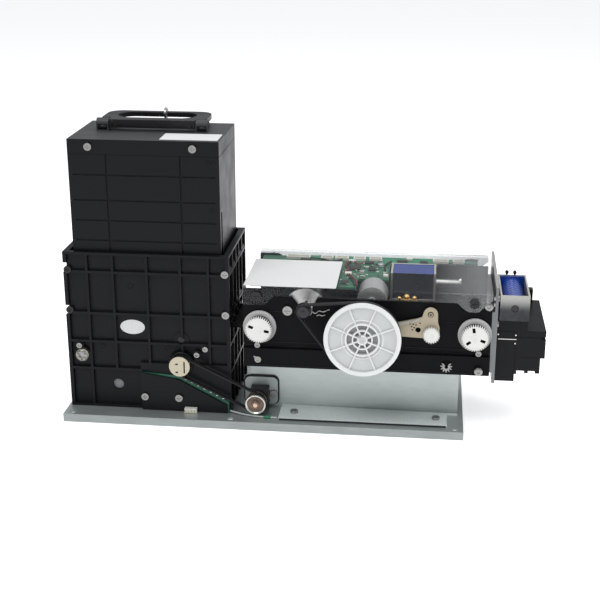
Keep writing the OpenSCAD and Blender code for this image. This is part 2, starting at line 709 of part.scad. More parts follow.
module cassette_lid() {
    color("#1b1d1f") difference() {
        union() {
            block([cass_x0, cass_x1], [-cass_y, cass_y], [cass_z1, lid_z1]);
            // Lip that drops into the body
            difference() {
                block([cass_x0 + cass_wall, cass_x1 - cass_wall], [-cass_y + cass_wall, cass_y - cass_wall],
                    [cass_z1 - 3.7, cass_z1 + over]);
                block([cass_x0 + cass_wall + 2, cass_x1 - cass_wall - 2],
                    [-cass_y + cass_wall + 2, cass_y - cass_wall - 2], [cass_z1 - 5, cass_z1 + 2]);
            }
            // Lugs that carry the handle
            for (x = lug_x)
                block([x, x + lug_t], [hinge_y - lug_r, hinge_y + lug_r], [lid_z1, hinge_z]);
            for (x = lug_x)
                rod_x(hinge_y, hinge_z, lug_r, [x, x + lug_t]);
        }
        block([cass_x0 + 3, cass_x1 - 3], [-cass_y + 3, cass_y - 3], [cass_z1 - over, lid_z1 - 2.5]);
        for (x = lug_x)
            rod_x(hinge_y, hinge_z, hinge_r + run_fit, [x - over, x + lug_t + over]);
        rod_z(key_x, key_y, plug_r + run_fit, [cass_z1, lid_z1 + over]);
        for (p = lid_screw_x)
            rod_y(p, cass_z1 + 5.5, screw_r, [-cass_y - over, -cass_y + 6]);
    }
}
lug_x = [handle_x0 + lug_inset - lug_t, handle_x1 - lug_inset];

module lid_screws() {
    color("silver") for (p = lid_screw_x)
        screw_y(p, -cass_y - head_h, cass_z1 + 5.5, 3);
}

// Folding loop with its own trunnions
module handle() {
    color("#161718") difference() {
        union() {
            // Loop behind the lugs
            translate([0, 0, handle_z1 - loop_t]) linear_extrude(loop_t) {
                rounded([handle_x0, handle_x1], [loop_y0, handle_reach], 10);
                rounded([handle_x0, handle_x1], [loop_y0, loop_y0 + 12], 2);
            }
            // Bar between the lugs, and the pin through them
            block([handle_x0 + lug_inset + 0.4, handle_x1 - lug_inset - 0.4], [handle_y0, loop_y0 + 2],
                [handle_z0, handle_z1]);
            rod_x(hinge_y, hinge_z, hinge_r, [handle_x0 + lug_inset - lug_t, handle_x1 - lug_inset + lug_t]);
        }
        translate([0, 0, handle_z1 - loop_t - over]) linear_extrude(loop_t + 2 * over)
            rounded([handle_x0 + handle_bar, handle_x1 - handle_bar], grip_y,
                (grip_y[1] - grip_y[0]) / 2 - 0.2);
    }
}

// Plug that turns in the lid, with the key's bow above it and its cam below
module key() {
    color("silver") {
        rod_z(key_x, key_y, plug_r, [lid_z1 - 4, lid_z1 + 0.6]);
        block([key_x - 5, key_x + 1.5], [key_y - 1.2, key_y + 1.2], [lid_z1 - 5.5, lid_z1 - 4]);
        block([key_x - 0.8, key_x + 0.8], [key_y - 1.2, key_y + 1.2], [lid_z1 + 0.6, lid_z1 + 5.6]);
        difference() {
            rod_x(key_y, lid_z1 + 9.1, 4, [key_x - 0.8, key_x + 0.8]);
            rod_x(key_y, lid_z1 + 10.9, 1, [key_x - 2, key_x + 2]);
        }
    }
}

module pusher_plate() {
    pz = floor_z + 0.3;
    color("slategray") difference() {
        union() {
            block([stack_cx - guide_x + slide_gap, stack_cx + guide_x - slide_gap],
                [-guide_y + slide_gap, guide_y - slide_gap], [pz, pz + 2]);
            for (y = [-22, 20])
                block([stack_cx - 36, stack_cx + 36], [y, y + 2], [pz + 2, pz + 12]);
        }
        block([stack_cx - 12, stack_cx + 12], [-8, 8], [pz - over, pz + 3]);
    }
}

// ---- Transport ----

slab_z1 = trans_z0 + 14;
ear_z = trans_z0 + 46;
skirt_z = trans_z0 + 52.9;
cover_screws = [trans_x0 + 9.5, trans_x1 - 12.3];
cover_screw_z = cover_z1 - 7;
side_top = skirt_z - 0.9;
shaft_x = [left_x, centre_x, third_x, right_x];
pinch_x = [left_x, centre_x, right_x];
near_screw_z = trans_z0 + 16.05;
near_screws = [[trans_x1 - 8, trans_z0 + 4.5], [trans_x1 - 8, near_screw_z], [trans_x0 + 9.5, near_screw_z]];

// Side plate on the -Y side
module side_plate() {
    difference() {
        union() {
            wall_y([-side_y, -side_in]) polygon([
                [trans_x0, trans_z0], [trans_x1, trans_z0], [trans_x1, side_top],
                [trans_x1 - 8, side_top], [trans_x1 - 8, cover_z1 - 3], [trans_x1 - 16, cover_z1 - 3],
                [trans_x1 - 24, side_top], [trans_x0 + 22, side_top],
                [trans_x0 + 14, cover_z1 - 3], [trans_x0, cover_z1 - 3]]);
            // Lower slab that stands proud
            block([trans_x0, trans_x1], [-side_y - slab_out, -side_y], [trans_z0, slab_z1]);
            // Ledge under the slab that rests on the stand
            block([trans_x0 + 6, trans_x1 - 6], [-side_in, -side_in + 6], [trans_z0, trans_z0 + 3]);
        }
        for (x = shaft_x)
            rod_y(x, axis_z, bore_r, [-side_y - over, -side_in + over]);
        for (x = pinch_x)
            rod_y(x, pinch_z, pinch_axle_r + run_fit, [-side_y + 1, -side_in + over]);
        for (x = cover_screws)
            rod_y(x, cover_screw_z, screw_r, [-side_y - over, -side_in + over]);
    }
}

module near_side_plate() {
    color("#1c1e1f") difference() {
        side_plate();
        wall_y([-side_y - over, -side_in + over]) translate([motor_x, motor_z]) polygon([[-12, 6],
            [-5.6, -2.2],
            [-5.2, -8], [-3, -10], [3, -10], [4.2, -8], [4.4, -3], [9.4, 6]]);
        rod_y(third_x + 11, trans_z0 + 7.5, 3.6, [-side_y - slab_out - over, -side_y - slab_out + 2]);
        rod_y(lever_x, lever_z, lever_pin_r, [-side_y - over, -side_in + over]);
        for (p = concat(near_screws, [[trans_x0 + 31, motor_z - 5.5]]))
            rod_y(p[0], p[1], screw_r, [-side_y - slab_out - over, -side_in + over]);
    }
}
module far_side_plate() {
    color("#1c1e1f") mirror([0, 1, 0]) side_plate();
}

// Trays between the side plates, open where the rollers meet the media
guide_t = 2;
module guide_tray(z, rail) {
    block([trans_x0 + 1, trans_x1 - 1], [-side_in, side_in], z);
    for (s = [-1, 1])
        block([trans_x0 + 12, trans_x1 - 4], s > 0 ? [side_in - 4, side_in] : [-side_in, -side_in + 4], rail);
}
module lower_guide() {
    color("#25282a") difference() {
        union() {
            guide_tray([slot_z0 - guide_t, slot_z0], [trans_z0 + 3, slot_z0]);
            for (y = [-media_w / 2 - 4.4, media_w / 2 + 0.4])
                block([trans_x0 + 1, trans_x1 - 1], [y, y + 4], [slot_z0, slot_z1]);
            // Lead-in that reaches the stacker's gate
            block([stack_x1 + 0.6, trans_x0 + 1], [-slot_half, slot_half], [slot_z0 - guide_t, slot_z0]);
        }
        for (x = pinch_x) {
            for (y = [-sleeve_y, sleeve_y])
                block([x - pinch_r - 0.6, x + pinch_r + 0.6],
                    [y - sleeve_w / 2 - 0.6, y + sleeve_w / 2 + 0.6],
                    [slot_z0 - guide_t - over, slot_z0 + over]);
            block([x - 2, x + 2], [-side_in - over, side_in + over], [pinch_z - 3, pinch_z + 1.9]);
        }
        block([head_x - 5.5, head_x + 5.5], [-9, 9], [slot_z0 - 1.2, slot_z0 + over]);
    }
}
module upper_guide() {
    color("#25282a") difference() {
        union() {
            guide_tray([slot_z1, slot_z1 + guide_t], [slot_z1, slot_z1 + 12]);
            // Posts for the board
            for (p = [[trans_x0 + 12, 5.3], [trans_x0 + 12, side_in - 5], [trans_x1 - 14, side_in - 3.2]])
                block([p[0] - 3, p[0] + 3], [p[1] - 3, p[1] + 3], [slot_z1, board_z0]);
        }
        for (x = shaft_x) {
            for (y = [-sleeve_y, sleeve_y])
                block([x - roller_r - 0.8, x + roller_r + 0.8],
                    [y - sleeve_w / 2 - 0.6, y + sleeve_w / 2 + 0.6],
                        [slot_z1 - over, slot_z1 + guide_t + over]);
            block([x - shaft_r - 0.5, x + shaft_r + 0.5], [-side_in - over, side_in + over],
                [axis_z - shaft_r - 0.4, slot_z1 + 13]);
        }
        block([head_x - 5.5, head_x + 5.5], [-9, 9], [slot_z1 - over, slot_z1 + guide_t + over]);
    }
}
module read_head() {
    color("gray") {
        block([head_x - 5.2, head_x + 5.2], [-8.5, 8.5], [slot_z1 + 0.1, slot_z1 + 8]);
        block([head_x - 7.5, head_x + 7.5], [-8.5, 8.5], [slot_z1 + guide_t, slot_z1 + 4]);
        block([head_x - 5.2, head_x + 5.2], [-8.5, 8.5], [slot_z0 - 1.2, slot_z0 - 0.1]);
    }
}

// ---- Rollers of the transport ----

// Shaft with two rubber sleeves; disc adds the bright flange beside the near side plate
module roller(x, near_y, disc = false) {
    rod_y(x, axis_z, shaft_r, [near_y, shaft_rear_y]);
    for (y = [-sleeve_y, sleeve_y])
        rod_y(x, axis_z, roller_r, [y - sleeve_w / 2, y + sleeve_w / 2]);
    if (disc)
        rod_y(x, axis_z, flange_r, flange_y);
}
// Pulley on the far end of a shaft
module rear_pulley(x) {
    difference() {
        union() {
            rod_y(x, axis_z, rear_pulley_r, [rear_y0, rear_y0 + rear_w]);
            rod_y(x, axis_z, rear_pulley_r + 1.5, [rear_y0 - 0.8, rear_y0]);
            rod_y(x, axis_z, rear_pulley_r + 1.5, [rear_y0 + rear_w - 0.8, rear_y0 + rear_w]);
        }
        rod_y(x, axis_z, shaft_r, [rear_y0 - 2, rear_y0 + rear_w + over]);
    }
}
// Toothed hand gear on the near end of a shaft
module hand_gear(x, windows) {
    difference() {
        union() {
            translate([x, hand_y0 + hand_t, axis_z]) rotate([90, 0, 0])
                linear_extrude(hand_t) teeth(hand_teeth, hand_r, hand_r - 1);
            rod_y(x, axis_z, hand_drum_r, [hand_y0 + hand_t, flange_y[0] - 0.5]);
            rod_y(x, axis_z, 5, [flange_y[0] - 0.5, flange_y[0]]);
        }
        rod_y(x, axis_z, shaft_r, [hand_y0 + 1, -side_y]);
        for (a = windows)
            translate([x, hand_y0 - over, axis_z]) rotate([0, a, 0]) translate([4, 0, -1])
                cube([3.4, over + 1.5, 2]);
    }
    rear_pulley(x);
}

module left_roller() {
    color("silver") roller(left_x, hand_y0 + 1, true);
}
module left_gear() {
    color("whitesmoke") hand_gear(left_x, [10, 200]);
}
module centre_roller() {
    color("silver") roller(centre_x, wheel_y0 + 0.6);
}
module third_roller() {
    color("silver") roller(third_x, pinion_y0 + 0.6);
}
module right_roller() {
    color("silver") roller(right_x, hand_y0 + 1, true);
}
module right_gear() {
    color("whitesmoke") hand_gear(right_x, [20, 140, 260]);
}

pinion_y0 = -side_y - 7.1;
pinion_t = 3.7;
pinion_r = 5.8;
pinion_hub_r = 2.7;
module pinion() {
    color("whitesmoke") {
        difference() {
            union() {
                translate([third_x, pinion_y0 + pinion_t, axis_z]) rotate([90, 0, 0])
                    linear_extrude(pinion_t) teeth(20, pinion_r, pinion_r - 0.9);
                rod_y(third_x, axis_z, pinion_hub_r, [pinion_y0 + pinion_t, -side_y - 0.3]);
            }
            rod_y(third_x, axis_z, shaft_r, [pinion_y0 - over, -side_y]);
        }
        rear_pulley(third_x);
    }
}

// Large wheel: outer rim with the belt groove, dished web, hub rings and spokes
module drive_wheel() {
    rim_r = wheel_d / 2;
    color("white") {
        difference() {
            union() {
                rod_y(centre_x, axis_z, rim_r, [wheel_y0, belt_y0 - 0.3]);
                rod_y(centre_x, axis_z, wheel_groove_r, [belt_y0 - 0.3, belt_y0 + belt_w + 0.3]);
                rod_y(centre_x, axis_z, 12, [belt_y0 + belt_w + 0.3, wheel_y1]);
                rod_y(centre_x, axis_z, 5, [wheel_y1, -side_y - 0.5]);
            }
            // Dish between the rim and the hub ring
            difference() {
                rod_y(centre_x, axis_z, rim_r - 3, [wheel_y0 - over, wheel_y0 + 1.6]);
                rod_y(centre_x, axis_z, 12, [wheel_y0 - 2 * over, wheel_y0 + 2]);
                wheel_spokes(12, rim_r - 2, wheel_y0 + 0.5);
            }
            // Deeper ring round the hub
            difference() {
                rod_y(centre_x, axis_z, 10.8, [wheel_y0 - over, wheel_y0 + 3]);
                rod_y(centre_x, axis_z, 3.6, [wheel_y0 - 2 * over, wheel_y0 + 4]);
                difference() {
                    rod_y(centre_x, axis_z, 7.2, [wheel_y0 + 0.4, wheel_y0 + 4]);
                    rod_y(centre_x, axis_z, 6.2, [wheel_y0 - 2 * over, wheel_y0 + 4]);
                }
                wheel_spokes(3, 11, wheel_y0 + 0.5);
            }
            rod_y(centre_x, axis_z, shaft_r, [wheel_y0 - over, -side_y]);
        }
        rear_pulley(centre_x);
    }
}
module wheel_spokes(r0, r1, y) {
    for (i = [0 : 7])
        translate([centre_x, y, axis_z]) rotate([0, i * 45 + 22, 0]) translate([r0, 0, -0.5])
            cube([r1 - r0, 3, 1]);
}

module pinch_roller(x) {
    color("darkslategray") {
        rod_y(x, pinch_z, pinch_axle_r, [-side_y + 1.3, side_y - 1.3]);
        for (y = [-sleeve_y, sleeve_y])
            rod_y(x, pinch_z, pinch_r, [y - sleeve_w / 2, y + sleeve_w / 2]);
    }
}
module left_pinch_roller() {
    pinch_roller(left_x);
}
module centre_pinch_roller() {
    pinch_roller(centre_x);
}
module right_pinch_roller() {
    pinch_roller(right_x);
}

// Straight loop over the four rear pulleys
module roller_belt() {
    color("#1a1a1a") belt([left_x, axis_z], rear_pulley_r + belt_gap, [right_x, axis_z],
        rear_pulley_r + belt_gap, [rear_y0 + 0.6, rear_y0 + rear_w - 1.4]);
}

// ---- Motors ----

motor_y0 = -side_in + 0.3;
motor_flange_r = 14.4;
module main_motor() {
    color("silver") difference() {
        union() {
            rod_y(motor_x, motor_z, motor_r, [motor_y0, motor_y0 + motor_l]);
            rod_y(motor_x, motor_z, 3, [motor_y0 - 1.5, motor_y0]);
            // Round flange behind the side plate, flat at the guide, with a tab for its screw
            intersection() {
                rod_y(motor_x - 0.8, motor_z - 4.8, motor_flange_r, [motor_y0, motor_y0 + 1.5]);
                block([motor_x - 20, motor_x + 20], [motor_y0 - over, motor_y0 + 3],
                    [slot_z1 + 12.4, cover_z1]);
            }
            block([trans_x0 + 27, motor_x], [motor_y0, motor_y0 + 1.5], [motor_z - 9, motor_z]);
        }
        rod_y(motor_x, motor_z, motor_shaft_r + run_fit, [motor_y0 - 3, motor_y0 + 12]);
        rod_y(trans_x0 + 31, motor_z - 5.5, screw_r, [motor_y0 - over, motor_y0 + 2]);
    }
}
motor_belt_r = pulley_d / 2;
module motor_pulley() {
    color("#202020") {
        rod_y(motor_x, motor_z, motor_shaft_r, [belt_y0 - 1.2, motor_y0 + 10]);
        rod_y(motor_x, motor_z, motor_belt_r, [belt_y0 - 0.4, belt_y0 + belt_w + 0.4]);
        rod_y(motor_x, motor_z, motor_belt_r + 1.4, [belt_y0 + belt_w + 0.4, belt_y0 + belt_w + 1.4]);
    }
}
module drive_belt() {
    color("#1a1a1a") belt([centre_x, axis_z], wheel_groove_r + belt_gap, [motor_x, motor_z],
        motor_belt_r + belt_gap, [belt_y0, belt_y0 + belt_w]);
}
module aux_motor() {
    color("gainsboro") {
        rod_y(aux_x, aux_z, aux_r, [-side_y + 10.5, -side_y + 10.5 + aux_l]);
        rod_y(aux_x, aux_z, 3, [-side_y + 9, -side_y + 10.5]);
        // Saddle on two legs, one each side of the centre shaft
        block([centre_x - 9, aux_x + 8], [-side_y + 13, -side_y + 9 + aux_l],
            [aux_z - aux_r - 0.5, aux_z - aux_r + 2]);
        for (x = [centre_x - 9, aux_x + 5])
            block([x, x + 3], [-side_y + 13, -side_y + 9 + aux_l], [slot_z1 + guide_t, aux_z - aux_r]);
    }
}

// ---- Lever and latch solenoid ----

lever_x = third_x - 0.9;
lever_z = axis_z + 14.2;
lever_pin_r = 1.5;
lever_lobe_r = 5;
lever_y0 = -side_y - 3;
module swing_lever() {
    color("tan") difference() {
        union() {
            wall_y([lever_y0, lever_y0 + 1.2]) translate([lever_x, lever_z]) difference() {
                polygon(concat([[-25.4, -16.6], [-25.4, -7.4], [-8.6, -3.2], [-5.8, -2.2]],
                    arc([0, 0], lever_lobe_r, 170, 0, 12),
                    [[5.2, -6], [6.4, -9.5], [6.4, -16.6], [5.6, -17.3], [-5.7, -17.4]]));
                translate([-8.3, -11.6]) circle(1.9);
            }
            // Pin that the lever turns on
            rod_y(lever_x, lever_z, lever_pin_r - run_fit, [lever_y0 - 0.8, -side_in - 0.2]);
        }
        // Room for the pinion's hub as the lever swings
        rod_y(third_x, axis_z, pinion_hub_r + 1.8, [lever_y0 - over, lever_y0 + 1.2 + over]);
    }
}

latch_x0 = third_x - 30.5;
latch_x1 = latch_x0 + 32.6;
latch_y = [1.5, 25.5];
latch_z1 = cover_z1 - cover_t - 0.6;
latch_z0 = latch_z1 - 21;
latch_cz = (latch_z0 + latch_z1) / 2;
latch_cy = (latch_y[0] + latch_y[1]) / 2;
latch_rod_r = 2.5;
module latch_frame() {
    color("silver") {
        difference() {
            block([latch_x0, latch_x1], latch_y, [latch_z0, latch_z1]);
            block([latch_x0 + 1.5, latch_x1 - 1.5], [latch_y[0] - over, latch_y[1] - 1.5],
                [latch_z0 + 1.5, latch_z1 + over]);
            rod_x(latch_cy, latch_cz, latch_rod_r + 0.1, [latch_x1 - 3, latch_x1 + over]);
        }
        // Legs that stand on the upper guide
        for (x = [latch_x0 + 1, latch_x1 - 12])
            block([x, x + 4], [latch_y[1] - 4, latch_y[1]], [slot_z1 + guide_t, latch_z0]);
    }
}
module latch_coil() {
    color("navy") difference() {
        block([latch_x0 + 1.7, latch_x1 - 1.7], [latch_y[0] + 0.5, latch_y[1] - 1.8],
            [latch_z0 + 1.7, latch_z1 - 0.3]);
        rod_x(latch_cy, latch_cz, latch_rod_r + 0.1, [latch_x0 + 6, latch_x1 + over]);
    }
}
module latch_plunger() {
    color("silver") {
        rod_x(latch_cy, latch_cz, latch_rod_r, [latch_x0 + 12, latch_x1 + 17]);
        rod_x(latch_cy, latch_cz, 4, [latch_x1 + 17, latch_x1 + 18.5]);
    }
}

// ---- Main board and cover ----

board_z0 = cover_z1 - cover_t - 3.8;
main_board_t = 1.6;
board_y0 = -30;
board_y1 = side_in - 0.5;
board_strip = 5.5;
module main_board() {
    color("#0d5c3a") difference() {
        union() {
            // Wide part beside the latch solenoid
            block([trans_x0 + 3, latch_x0 - 1], [board_y0, board_y1], [board_z0, board_z0 + main_board_t]);
            // Strip behind the solenoid, and the narrow strip that goes on to the bezel's end
            block([latch_x0 - 2, latch_x1 + 1], [latch_y[1] + 1, board_y1],
                [board_z0, board_z0 + main_board_t]);
            block([latch_x1, trans_x1 - 8.4], [side_in - board_strip, board_y1],
                [board_z0, board_z0 + main_board_t]);
            // Back edge over the far side plate, between its ears
            block([trans_x0 + 23, trans_x1 - 25], [board_y1 - over, side_y - 0.3],
                [board_z0, board_z0 + main_board_t]);
        }
        block([motor_x - motor_flange_r - 2, motor_x + motor_flange_r + 1],
            [board_y0 - over, motor_y0 + motor_l + 1],
            [board_z0 - over, board_z0 + 3]);
        block([aux_x - aux_r - 1, latch_x0 + over], [board_y0 - over, -side_y + 11.5 + aux_l],
            [board_z0 - over, board_z0 + 3]);
    }
}
connector_h = 1.9;
connectors = [[21, 18], [47, 9.2], [57.6, 10.2], [71.5, 9.1], [83.4, 9.3], [130.6, 11.7], [145.3, 8.7]];
module board_connectors() {
    color("ivory") {
        for (c = connectors)
            difference() {
                block([trans_x0 + c[0], trans_x0 + c[0] + c[1]], [side_in - 8.5, side_in - 2.5],
                    [board_z0 + main_board_t, board_z0 + main_board_t + connector_h]);
                block([trans_x0 + c[0] + 1, trans_x0 + c[0] + c[1] - 1], [side_in - 7.5, side_in - 3.5],
                    [board_z0 + main_board_t + 0.6, board_z0 + main_board_t + 4]);
            }
        block([pick_x + 2.4, pick_x + 11.3], [-frame_y - board_t - 4.5, -frame_y - board_t],
            [frame_z0 + 0.3, frame_z0 + 3.8]);
    }
}

module skirt() {
    polygon([[trans_x0, ear_z], [trans_x0 + 14.8, ear_z], [trans_x0 + 21.6, skirt_z],
        [trans_x1 - 24.5, skirt_z], [trans_x1 - 16.9, ear_z + 0.5], [trans_x1 - 9.1, ear_z + 0.5],
        [trans_x1 - 6, ear_z + 4], [trans_x1, skirt_z + 2.5], [trans_x1, cover_z1], [trans_x0, cover_z1]]);
}
module clear_cover() {
    color("lightcyan", 0.4) difference() {
        union() {
            block([trans_x0, trans_x1], [-cover_y, cover_y], [cover_z1 - cover_t, cover_z1]);
            wall_y([-cover_y, -cover_y + cover_t]) skirt();
            wall_y([cover_y - cover_t, cover_y]) skirt();
        }
        for (x = cover_screws)
            rod_y(x, cover_screw_z, screw_r, [-cover_y - over, cover_y + over]);
    }
}

module transport_screws() {
    color("#303030") {
        for (x = cover_screws) {
            screw_y(x, -cover_y - head_h, cover_screw_z, cover_t + slide_gap + 2, 1, 3.4);
            screw_y(x, cover_y + head_h, cover_screw_z, cover_t + slide_gap + 2, -1, 3.4);
        }
        screw_y(trans_x0 + 31, -side_y - head_h, motor_z - 5.5, side_t + 1.5, 1, 3.4);
        for (p = near_screws)
            screw_y(p[0], -side_y - (p[1] < slab_z1 ? slab_out : 0) - head_h, p[1], side_t, 1, 2);
        for (x = stand_screws)
            rod_z(x, 0, screw_r, [trans_z0 - sheet_t, trans_z0]);
    }
}

// ---- Front ----

plate_y = side_y - 0.3;
front_screw_z = [trans_z0 + 4, cover_z1 - 6];
module front_plate() {
    color("gainsboro") difference() {
        union() {
            block([front_x0, front_x1], [-plate_y, plate_y], [trans_z0 - 6, cover_z1 + 4]);
            // Folded tabs that reach back to the side plates
            for (s = [-1, 1])
                block([trans_x1, front_x0], s > 0 ? [side_in + 0.4, plate_y] : [-plate_y, -side_in - 0.4],
                    [trans_z0 + 2, cover_z1 - 14]);
        }
        block([front_x0 - over, front_x1 + over], [-slot_half, slot_half], [slot_z0 - 2, slot_z1 + 2]);
    }
}

module bezel_housing() {
    color("#222425") difference() {
        union() {
            block([front_x1, bezel_x1], [-bezel_y, bezel_y], [housing_z0, housing_z1]);
            // Block under the solenoid
            block([front_x1, bezel_x1], [-bezel_y, bezel_y - 8], [housing_z1, mouth_z1]);
            block([front_x1, front_x1 + 21.5], [-bezel_y, bezel_y - 8], [mouth_z1, sol_z0 - 0.2]);
        }
        // Media slot, shutter well and the opening over the crank
        block([front_x1 - over, bezel_x1 + over], [-slot_half, slot_half], [slot_z0, slot_z1]);
        block([shutter_x0 - slide_gap, shutter_x0 + shutter_t + slide_gap],
            [-shutter_w / 2 - slide_gap, shutter_w / 2 + slide_gap],
            [slot_z0 - 5, sol_z0 + over]);
        block([shutter_x0 - 3, shutter_x0 + 6], [crank_y - 8, bezel_y + over],
            [housing_z1 - 1, sol_z0 + over]);
    }
    // Pin that the crank turns on
    color("#222425") rod_x(crank_y, crank_z, crank_pin_r, [shutter_x0 + 2.4, shutter_x0 + 7]);
}

module bezel_mouth() {
    color("#222425") difference() {
        union() {
            wall_y([-bezel_y, bezel_y]) polygon([
                [bezel_x1, housing_z1], [bezel_x1, mouth_z1], [mouth_x1, mouth_z1],
                [mouth_x1, mouth_z1 - 20], [mouth_x1 - 3, mouth_z1 - 20], [mouth_x1 - 3, mouth_z1 - 31.5],
                [mouth_x1 - 6, mouth_z1 - 31.5], [mouth_x1 - 6, mouth_z1 - 29.8],
                [mouth_x1 - 11, mouth_z1 - 29.8], [mouth_x1 - 11, mouth_z1 - 31.5],
                [mouth_x1 - 13.5, mouth_z1 - 31.5], [mouth_x1 - 13.5, mouth_z1 - 29.8],
                [mouth_x1 - 19, mouth_z1 - 29.8], [mouth_x1 - 19, mouth_z1 - 32.5],
                    [bezel_x1, mouth_z1 - 32.5]]);
            // Raised back corner
            block([bezel_x1 + 8, bezel_x1 + 15], [bezel_y - 6, bezel_y], [mouth_z1, mouth_z1 + 10]);
        }
        block([bezel_x1 - over, mouth_x1 + over], [-slot_half, slot_half], [slot_z0, slot_z1]);
        // Flare at the lips
        block([mouth_x1 - 3, mouth_x1 + over], [-bezel_y - over, bezel_y + over],
            [slot_z0 - 0.4, slot_z1 + 0.4]);
        // Hollow behind the lower jaw
        block([bezel_x1 + 3, mouth_x1 - 6], [-bezel_y + 3, bezel_y - 3], [mouth_z1 - 40, slot_z0 - 4]);
    }
}

// Gate across the slot, lifted by the crank's pin in its slotted finger
shutter_z0 = slot_z0 - 2.4;
shutter_z1 = slot_z1 + 6;
module shutter() {
    color("silver") difference() {
        union() {
            block([shutter_x0, shutter_x0 + shutter_t], [-shutter_w / 2, shutter_w / 2],
                [shutter_z0, shutter_z1]);
            block([shutter_x0, shutter_x0 + shutter_t],
                [crank_y + crank_reach - 5, crank_y + crank_reach + 3.5],
                [shutter_z1, crank_z + 3]);
        }
        block([shutter_x0 - over, shutter_x0 + shutter_t + over],
            [crank_y + crank_reach - 2.9, crank_y + crank_reach + 1.5], [crank_z - 1.4, crank_z + 1.4]);
    }
}

// Crank between the plunger and the shutter, on a pin in the housing
module shutter_lever() {
    color("goldenrod") {
        difference() {
            union() {
                rod_x(crank_y, crank_z, 3, crank_x);
                block(crank_x, [crank_y - 0.8, crank_y + 0.8], [crank_z, sol_cz + 2]);
                block(crank_x, [crank_y, crank_y + crank_reach + 1.5], [crank_z - 1.5, crank_z + 1.5]);
            }
            rod_x(crank_y, crank_z, crank_pin_r + run_fit, [crank_x[0] - over, crank_x[1] + over]);
        }
        rod_x(crank_y + crank_reach, crank_z, 1, [shutter_x0 + 0.3, crank_x[0]]);
    }
}

module shutter_frame() {
    color("silver") difference() {
        block([sol_x0, sol_x0 + sol_w], [sol_y0, sol_y1], [sol_z0, sol_z1]);
        block([sol_x0 + 1.2, sol_x0 + sol_w - 1.2], [sol_y0 + 1.5, sol_y1 - 1.5],
            [sol_z0 + 1.5, sol_z1 + over]);
        rod_y(sol_cx, sol_cz, plunger_r + 0.1, [sol_y1 - 4, sol_y1 + over]);
        rod_y(sol_cx, sol_cz, 2.6, [sol_y0 - over, sol_y0 + 4]);
    }
}
module shutter_coil() {
    color("royalblue") difference() {
        union() {
            rod_y(sol_cx, sol_cz, sol_h / 2 - 1.6, [sol_y0 + 3, sol_y1 - 3]);
            for (y = [sol_y0 + 1.6, sol_y1 - 3])
                block([sol_x0 + 1.4, sol_x0 + sol_w - 1.4], [y, y + 1.4], [sol_z0 + 1.6, sol_z1 - 0.5]);
        }
        rod_y(sol_cx, sol_cz, plunger_r + 0.1, [sol_y0 + 12, sol_y1 + over]);
    }
}
// Plunger with a waist between two collars that the crank's upper arm sits in
module shutter_plunger() {
    color("silver") {
        rod_y(sol_cx, sol_cz, plunger_r, [sol_y0 + 18, crank_y - 3.2]);
        rod_y(sol_cx, sol_cz, 2.2, [crank_y - 3.2, crank_y - 1.9]);
        rod_y(sol_cx, sol_cz, 1, [crank_y - 1.9, crank_y + 1.9]);
        rod_y(sol_cx, sol_cz, 2.2, [crank_y + 1.9, crank_y + 3.2]);
    }
}

base_plate();
transport_bracket();
machine_screws();
motor_mount_plate();
feed_motor();
feed_pulley();
feed_belt();
frame_front_half();
frame_rear_half();
stacker_board();
board_cover_plate();
cross_shaft();
sensor_wire();
drive_shaft();
drive_disc();
pick_roller();
pick_gear();
cassette_body();
cassette_lid();
lid_screws();
handle();
key();
pusher_plate();
near_side_plate();
far_side_plate();
lower_guide();
upper_guide();
read_head();
left_roller();
left_gear();
centre_roller();
drive_wheel();
third_roller();
pinion();
right_roller();
right_gear();
left_pinch_roller();
centre_pinch_roller();
right_pinch_roller();
roller_belt();
main_motor();
motor_pulley();
drive_belt();
aux_motor();
swing_lever();
latch_frame();
latch_coil();
latch_plunger();
main_board();
board_connectors();
clear_cover();
transport_screws();
front_plate();
bezel_housing();
bezel_mouth();
shutter();
shutter_lever();
shutter_frame();
shutter_coil();
shutter_plunger();
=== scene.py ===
import json
import math
import random

import bmesh
import bpy
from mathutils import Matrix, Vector


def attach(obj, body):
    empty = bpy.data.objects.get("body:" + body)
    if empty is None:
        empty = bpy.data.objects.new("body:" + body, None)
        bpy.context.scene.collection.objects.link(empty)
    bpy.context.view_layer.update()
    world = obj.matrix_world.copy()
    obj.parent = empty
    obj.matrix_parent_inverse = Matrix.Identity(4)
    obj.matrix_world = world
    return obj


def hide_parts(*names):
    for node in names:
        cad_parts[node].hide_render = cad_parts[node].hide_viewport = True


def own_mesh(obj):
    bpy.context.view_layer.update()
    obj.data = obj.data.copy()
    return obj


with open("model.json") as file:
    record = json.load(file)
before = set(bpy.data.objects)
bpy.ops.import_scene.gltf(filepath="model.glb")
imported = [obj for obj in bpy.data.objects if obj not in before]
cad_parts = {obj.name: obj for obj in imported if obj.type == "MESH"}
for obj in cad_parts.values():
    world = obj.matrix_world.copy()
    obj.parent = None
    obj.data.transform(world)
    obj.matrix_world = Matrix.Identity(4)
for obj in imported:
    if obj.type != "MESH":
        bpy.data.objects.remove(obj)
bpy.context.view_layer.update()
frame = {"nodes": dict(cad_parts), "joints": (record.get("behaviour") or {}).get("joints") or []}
nodes = frame["nodes"]
scene = bpy.context.scene
MM = 0.001
NEAR = (0, -1, 0)

# ---- Places taken from the frame, in millimetres ----


def limits(node, axis):
    values = [v.co[axis] / MM for v in nodes[node].data.vertices]
    return min(values), max(values)


def span(node, axis):
    """Lowest and highest coordinate of a CAD node along an axis."""
    return tuple(round(value, 2) for value in limits(node, axis))


def middle(node):
    """Middle of a CAD node's box."""
    return [round(sum(limits(node, axis)) / 2, 2) for axis in range(3)]


